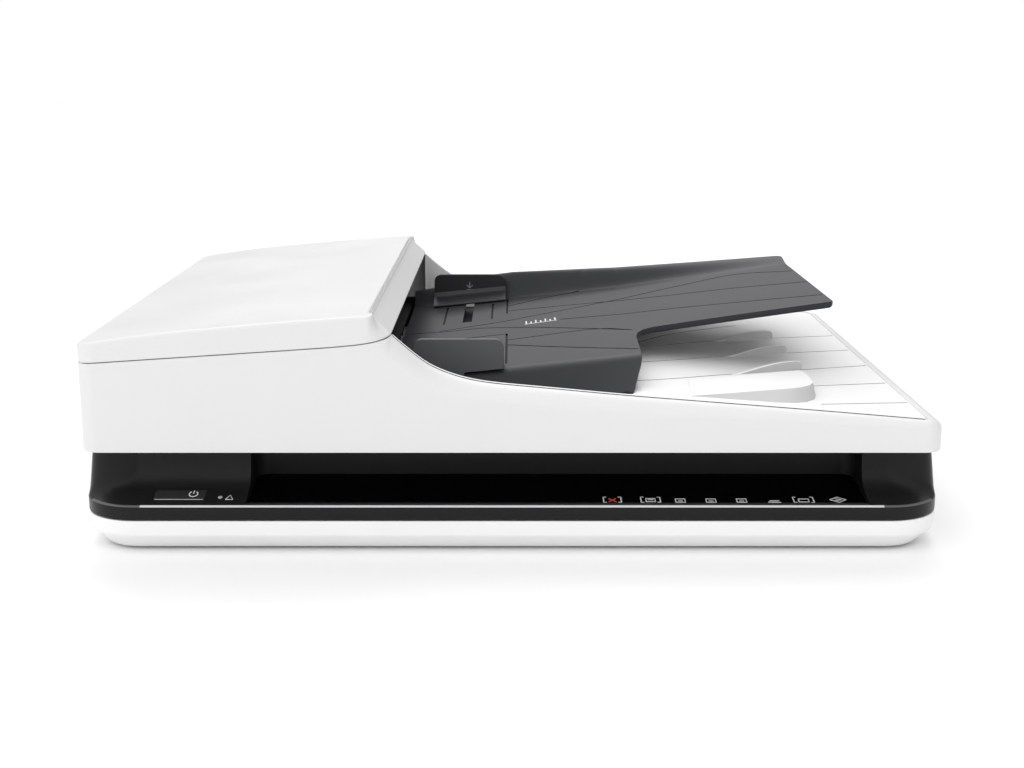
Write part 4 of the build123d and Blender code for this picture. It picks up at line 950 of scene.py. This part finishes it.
right_edge = LID_X1 - fillet_at(LID_X1)[0] - 2.1
side_xs = [x for x in [-50] + every(8, -40, 219) if x < right_edge - 4]
front_line = [(x, LID_Y0 + inner_edge(x)) for x in side_xs]
rear_line = [(x, LID_Y1 - inner_edge(x)) for x in side_xs]
out_outline = (
    [(OUTPUT_LEFT, -133.5), (-51, -133.5)] + front_line
    + [(right_edge - 2, front_line[-1][1] + 0.6), (right_edge, front_line[-1][1] + 3)]
    + [(right_edge, rear_line[-1][1] - 3), (right_edge - 2, rear_line[-1][1] - 0.6)]
    + rear_line[::-1] + [(-51, 133.5), (OUTPUT_LEFT, 133.5)]
)
output = prism("output_tray_skin", out_outline, -2.4, 0.0)
OUTPUT_GROOVES = (
    ((69, -23), (79, -8), (101.5, 25), (129, 54), (140, 65), (150, 74)),
    ((68, -33), (80, -24), (126, 11), (168, 37), (214, 65)),
    ((66, -76), (76, -70), (126, -37), (168, -11), (214, 17)),
    ((66, -123), (70, -121), (125, -86), (169, -59), (214, -30)),
    ((164, -104), (214, -78)),
    ((163, -147), (214, -126)),
)
# The output tray takes the brighter white (painted light) and its grooves a grey (painted shade).
cut_grooves(output, OUTPUT_GROOVES, 1.1, 0.9, "white_tray_painted_bright", "painted_groove_shade_pale")
slice_grid(output, every(5, -80, 219), [-120, -60, 0, 60, 120])
drape(output, lambda x, y, h: (x, y, output_z(x) + h))
finish_piece(output, "lid", "white_case", ["output_tray"], angle=20)


def paint_side_shade(obj, steep):
    """Painted shade: a darker grey on the upright faces of a rib, white on its top."""
    give_looks(obj, "white_tray_painted_bright", "painted_shade_grey")
    for polygon in obj.data.polygons:
        polygon.material_index = 1 if polygon.normal.z < steep else 0


# Fins: thin curved ramps that stand on three of the grooves, from one plan point to another.
FIN_HEIGHT = 5.6
FIN_LINES = ((126, 9, 168, 36), (127, -38, 168.5, -10.5), (125, -87, 169, -58))
for index, (fx0, fy0, fx1, fy1) in enumerate(FIN_LINES):
    run = math.hypot(fx1 - fx0, fy1 - fy0)
    ux, uy = (fx1 - fx0) / run, (fy1 - fy0) / run
    profile = [
        (t * run, FIN_HEIGHT * math.sin(math.pi / 2 * min(t / 0.86, 1.0)) ** 1.25)
        for t in np.linspace(0, 0.9, 15)
    ]
    profile += [(run * 0.955, 5.3), (run * 0.985, 4.5), (run, 3.2)]
    lower = [(s, -0.8) for s, _ in reversed(profile)]
    rings = []
    for side, shrink in ((-1.0, 0.35), (-0.65, 0.0), (0.65, 0.0), (1.0, 0.35)):
        ring = []
        for s, h in profile + lower:
            x = fx0 + ux * s - uy * side
            y = fy0 + uy * s + ux * side
            ring.append((x, y, output_z(x) + (h - shrink if h > 0 else h)))
        rings.append(ring)
    fin = loft(f"output_fin_{index + 1}", rings)
    paint_side_shade(fin, 0.55)
    finish_piece(fin, "lid", "white_tray_painted_bright", angle=35)

# Broad wedge with a round nose that holds up the leading edge of the sheets.
WEDGE_TIP = 92.0
WEDGE_SLOPE = 6.5 / 68
wedge_front_top = ((94, -151), (116, -145.8), (137.6, -140.3), (148, -137.6), (154.7, -135.2), (160, -130.6))
wedge_front_low = ((94, -151), (118, -151.3), (138, -151.3), (148, -149.8), (156, -144.6), (161.6, -136.5))
wedge_nose_top = ((162.6, -125.3), (163.4, -117), (163.4, -106), (162.8, -97), (161, -93.2))
wedge_nose_low = ((164.2, -127), (165.0, -117), (165.0, -106), (164.4, -96), (162, -91.4))
wedge_back_top = ((140, -99.8), (118, -107), (97, -114))
wedge_back_low = ((140, -98.8), (118, -106), (97, -114))


def wedge_rise(x):
    return WEDGE_SLOPE * max(x - WEDGE_TIP, 0.0)


top_line = wedge_front_top + wedge_nose_top + wedge_back_top
low_line = wedge_front_low + wedge_nose_low + wedge_back_low
wedge_rings = []
for mix, lift in ((0.0, -1.0), (0.02, 0.0), (0.80, 0.80), (0.93, 0.95), (1.0, 1.0), (1.05, 1.0)):
    ring = []
    for (tx, ty), (lx, ly) in zip(top_line, low_line):
        x, y = lx + (tx - lx) * mix, ly + (ty - ly) * mix
        above = -1.0 if lift < 0 else -0.1 + (wedge_rise(x) + 0.1) * lift
        ring.append((x, y, output_z(x) + above))
    wedge_rings.append(ring)
wedge = loft("output_wedge", wedge_rings)
paint_side_shade(wedge, 0.965)
finish_piece(wedge, "lid", "white_tray_painted_bright", angle=24)

# ---------------------------------------------------------------- input tray
TRAY_THICK = 4.0
front_top_y = line_function(((-50, -113), (-5, -112), (0, -112), (70, -124)))
rear_y = line_function(((-68, 128), (-6, 128), (183.5, 99.5)))
fence_height = line_function((
    (-68, 9.5), (-50, 11), (-20, 16), (0, 16.4), (60, 12.2), (130, 6.6), (183.5, 2.6),
))
fence_width = line_function(((-68, 14), (0, 15), (40, 20), (183.5, 27)))
ROUND_R = 12.0
SKIRT_X0 = -50.0
APRON_END = 70.0
SKIRT_FOOT_Z = 74.5
skirt_angle = line_function(((-50, 0.92), (0, 0.86), (70, 0.58)))


def skirt_run(x):
    """Length of the skirt along its slope, beyond the rounded edge."""
    foot = max(SKIRT_FOOT_Z, output_z(x) + 0.4)
    drop = ROUND_R * (1 - math.cos(skirt_angle(x)))
    return max((tray_z(x) - drop - foot) / math.sin(skirt_angle(x)), 1.0)


def flat_front(x):
    """Front edge of the flat plate before it is bent over the skirt."""
    return front_top_y(x) - ROUND_R * skirt_angle(x) - skirt_run(x)


def bent_skirt(x, s, h):
    """Point of the skirt at a distance s along the plate from the start of its bend."""
    angle = skirt_angle(x)
    bend_run = ROUND_R * angle
    a = min(s / ROUND_R, angle)
    rest = max(s - bend_run, 0.0)
    lean = 0.06 * min(s, bend_run) + 0.24 * rest
    y = front_top_y(x) + 0.5 - (ROUND_R + h) * math.sin(a) - rest * math.cos(a)
    z = tray_z(x) - ROUND_R + (ROUND_R + h) * math.cos(a) - rest * math.sin(a)
    return (x - lean * max(x, 0) / APRON_END, y, z)


def tray_place(x, y, h):
    """Bend the flat plate: sloping top, rounded front edge and skirt, and the rolled rear fence."""
    start = front_top_y(x) + 0.5
    if x > SKIRT_X0 - 3 and y < start:
        return bent_skirt(x, start - y, h)
    z = tray_z(x)
    width = fence_width(x)
    u = (y - (rear_y(x) - width)) / width
    if u > 0:
        t = min(u, 1.0)
        z += fence_height(x) * t * t * t * (t * (6 * t - 15) + 10)
    return (x, y, z + h)


right_edge = TRAY_HIGH.x - 0.2
plate_outline = [(TRAY_LOW.x, -127.5), (SKIRT_X0 - 0.2, -127.5)]
plate_outline += [(float(x), flat_front(float(x))) for x in np.linspace(SKIRT_X0, 66, 24)]
plate_outline += [(69.6, flat_front(69.6)), (APRON_END, flat_front(69.6) + 0.5)]
plate_outline += [(APRON_END, front_top_y(APRON_END)), (APRON_END + 0.5, -100), (APRON_END + 1, -76)]
plate_outline += [(APRON_END + 2.5, -67), (APRON_END + 6, -61), (APRON_END + 12, -58.5), (100, -60.2)]
plate_outline += [(130, -64), (160, -68.6), (178, -71.8), (182.2, -72.2), (right_edge, -70.5)]
plate_outline += [(right_edge, 96), (181, 99.6)] + [(x, rear_y(x)) for x in (176, 150, 100, 50, 0, -6)]
plate_outline += [(-20, 128), (TRAY_LOW.x, 128)]
tray = prism("input_tray_skin", plate_outline, -TRAY_THICK, 0.0)
round_edges(tray, lambda m: m.z > -0.5 and m.x > -49, 0.7, 3)
round_edges(tray, lambda m: m.z < -TRAY_THICK + 0.5 and m.x > 71, 2.0, 4)
for side in (-1, 1):
    y0, y1 = sorted((side * 37, side * 122))
    boolean(tray, prism("cut", rounded_outline(-32, -26, y0, y1, 1.0, 3), -9, 9))
TRAY_GROOVES = (
    ((-46, 13), (7, 31), (55, 46), (111, 63), (146, 70), (182, 47)),
    ((-3, 64), (55, 50), (108, 32), (133, 24), (182.5, 1)),
    ((30, 8), (103, -14), (132, -26), (182, -48)),
    ((-3.3, 82), (26, 98), (46, 103)),
    ((-3, -36), (58, -44), (69, -56)),
    ((-3, -51), (30, -80), (69, -112)),
    ((-67, 15), (-46, 11), (-16, 10), (8, -3), (36, -26), (70, -56.5)),
    ((-3.2, 110), (-3.2, 55)),
    ((-3.2, -16), (-3.2, -104)),
    ((-3.2, -16), (-48, -20)),
    ((-44, 36), (-44, 100)),
    ((-13, 40), (-13, 98)),
)
# The groove faces take near black: painted shade.
cut_grooves(tray, TRAY_GROOVES, 1.3, 1.0, "tray_grey", "painted_groove_shade")
slice_grid(
    tray,
    every(6, -66, 183) + [-54, -5, 70, 0, -50],
    every(1.25, -170, -110) + [-90, -60, -30, 0, 30, 60] + every(1.25, 72, 128),
)
drape(tray, tray_place)
finish_piece(tray, "tray", "tray_grey", ["input_tray"], angle=30)

# ---------------------------------------------------------------- paper guides
GUIDE_X0, GUIDE_X1 = -54.0, -4.5
GUIDE_TOP = 103.0
GUIDE_Y = 116.0
# Foot of a guide: distance outwards from its wall, and height above the tray.
FOOT_SECTION = (
    (-12.6, 0.1), (-12.8, 0.9), (-12.3, 1.5), (-3.2, 4.6), (-1.4, 5.8), (-0.2, 8.4), (1.2, 8.4), (1.2, 0.1),
)


def guide(name, side, material, node):
    """Upright plate with round upper corners that turns into a foot under the sheets."""
    wall_y = side * GUIDE_Y
    corner = 5.0
    outline = [(GUIDE_X0, tray_z(GUIDE_X0) + 0.4), (GUIDE_X1, tray_z(GUIDE_X1) + 0.4)]
    for cx, start in ((GUIDE_X1 - corner, 0), (GUIDE_X0 + corner, 90)):
        for k in range(9):
            a = math.radians(start + 90 * k / 8)
            outline.append((cx + corner * math.cos(a), GUIDE_TOP - corner + corner * math.sin(a)))
    middle, half = (GUIDE_X0 + GUIDE_X1) / 2, (GUIDE_X1 - GUIDE_X0) / 2
    rings = []
    for offset, inset in ((0.0, 0.5), (0.35, 0.12), (0.7, 0.0), (1.9, 0.0), (2.25, 0.12), (2.5, 0.5)):
        shrink = (half - inset) / half
        y = wall_y + side * offset
        rings.append([(middle + (x - middle) * shrink, y, z if z < 90 else z - inset) for x, z in outline])
    foot = []
    for x in np.linspace(GUIDE_X0, GUIDE_X1, 3):
        z = tray_z(x) + 0.4
        foot.append([(x, wall_y + side * out, z + up) for out, up in FOOT_SECTION])
    piece = join(loft(name, rings), loft(name + "_foot", foot))
    return finish_piece(piece, f"{node}_slide", material, [node], angle=25)


guide("guide_rear_skin", 1, "guide_black", "guide_rear")
guide("guide_front_skin", -1, "guide_grey", "guide_front")


# Painted shade: a dark sheet under the two slots of the guides.
for side, place in ((-1, "front"), (1, "rear")):
    y0, y1 = sorted((side * 35, side * 133))
    bed = prism(f"slot_shade_sheet_{place}", rounded_outline(-34, -24, y0, y1, 1.0, 3), 76.9, 77.5)
    finish_piece(bed, "tray", "painted_groove_shade", angle=30)


def on_rear_guide(x, z, lift):
    return (x, GUIDE_Y - lift, z)


# Raised arrow on the rear guide, and small size marks on the tray.
symbol("guide_arrow", [
    [(-29.5, 97.8), (-29.5, 94.0)], [(-31.6, 95.6), (-29.5, 93.6), (-27.4, 95.6)],
    [(-31.4, 92.4), (-27.6, 92.4)],
], on_rear_guide, "guide_rear_slide", "print_grey", 0.6)
# A dark raised line in place of an engraved one: painted shade of the groove.
symbol("guide_line", [[(-46.0, 90.2), (-11.0, 93.4)]], on_rear_guide, "guide_rear_slide", "painted_groove_shade", 0.6)
marks = [[(9.0 + 3 * n, 7.6), (9.0 + 3 * n, 16.4 if n % 2 == 0 else 13.0)] for n in range(7)]
symbol(
    "size_marks", marks + [[(8.0, 6.6), (28.0, 6.6)]],
    lambda a, b, lift: (a, b, tray_z(a) + lift), "tray", "print_white", 0.9,
)

# ---------------------------------------------------------------- carried-over CAD nodes
SLOT_OF = {row["node"]: row["material_slot"] for row in frame["record"]["subparts"]}
LOOK_OF = {"rack_rear": "inner_black", "rack_front": "inner_black", "rack_pinion": "inner_black"}
for node, obj in frame["nodes"].items():
    for material_slot in obj.material_slots:
        material_slot.material = MATERIALS[LOOK_OF.get(node, SLOT_OF[node])]


# ---------------------------------------------------------------- stage, light, camera
SUN_FROM = (0.0, 0.72, 0.69)
SUN_POWER = 1.15
# Axis of the view direction: from, to, level at from, level at to.
ROOM_LIGHT = {"X": (-1, 1, 1.35, 0.65), "Y": (-1, 1, 1.01, 0.28), "Z": (0, 1, 1.0, 1.88)}


def plain_material(name, color, roughness):
    material = bpy.data.materials.new(name)
    material.use_nodes = True
    shader = material.node_tree.nodes["Principled BSDF"]
    shader.inputs["Base Color"].default_value = (*color, 1)
    shader.inputs["Roughness"].default_value = roughness
    shader.inputs["Specular IOR Level"].default_value = 0.2
    return material


FLOOR_HALF = 6.0
floor_mesh = bpy.data.meshes.new("floor")
floor_corners = [(x, y, 0) for x, y in rectangle(-FLOOR_HALF, FLOOR_HALF, -FLOOR_HALF, FLOOR_HALF)]
floor_mesh.from_pydata(floor_corners, [], [(0, 1, 2, 3)])
floor = link("floor", floor_mesh)
floor.data.materials.append(plain_material("floor_paper", (0.93, 0.93, 0.93), 0.9))

# Large soft lamp behind and above the object.
sun_data = bpy.data.lights.new("rear_soft_lamp", "SUN")
sun_data.energy = SUN_POWER
sun_data.angle = math.radians(50)
sun = bpy.data.objects.new("rear_soft_lamp", sun_data)
bpy.context.scene.collection.objects.link(sun)
sun.rotation_mode = "QUATERNION"
sun.rotation_quaternion = (-Vector(SUN_FROM)).to_track_quat("-Z", "Y")

# Even white room: a soft fall-off to the rear and to the right, brighter overhead.
world = bpy.data.worlds.new("studio")
bpy.context.scene.world = world
world.use_nodes = True
nodes, links = world.node_tree.nodes, world.node_tree.links
background = nodes["Background"]
background.inputs["Color"].default_value = (1, 1, 1, 1)
direction = nodes.new("ShaderNodeTexCoord")
parts = nodes.new("ShaderNodeSeparateXYZ")
links.new(direction.outputs["Generated"], parts.inputs["Vector"])
level = None  # product of the three ramps
for axis, (low, high, at_low, at_high) in ROOM_LIGHT.items():
    ramp = add_node(
        world.node_tree, "ShaderNodeMapRange", From_Min=low, From_Max=high, To_Min=at_low, To_Max=at_high,
    )
    links.new(parts.outputs[axis], ramp.inputs["Value"])
    if level is None:
        level = ramp.outputs["Result"]
        continue
    product = nodes.new("ShaderNodeMath")
    product.operation = "MULTIPLY"
    links.new(level, product.inputs[0])
    links.new(ramp.outputs["Result"], product.inputs[1])
    level = product.outputs["Value"]
rays = nodes.new("ShaderNodeLightPath")
seen = nodes.new("ShaderNodeMix")
seen.data_type = "FLOAT"
links.new(rays.outputs["Is Camera Ray"], seen.inputs[0])
links.new(level, seen.inputs[2])
seen.inputs[3].default_value = 1.0
links.new(seen.outputs[0], background.inputs["Strength"])

CAMERA_PLACE = (0.0, -0.9058, 0.2568)
CAMERA_PITCH = 12.79
camera_data = bpy.data.cameras.new("camera")
camera_data.sensor_width = 36.0
camera_data.lens = 52.05
camera_data.clip_start = 0.05
camera_data.clip_end = 50
camera = bpy.data.objects.new("camera", camera_data)
bpy.context.scene.collection.objects.link(camera)
camera.location = CAMERA_PLACE
camera.rotation_euler = (math.radians(90 - CAMERA_PITCH), 0, 0)
bpy.context.scene.camera = camera
bpy.context.scene.view_settings.view_transform = "Standard"
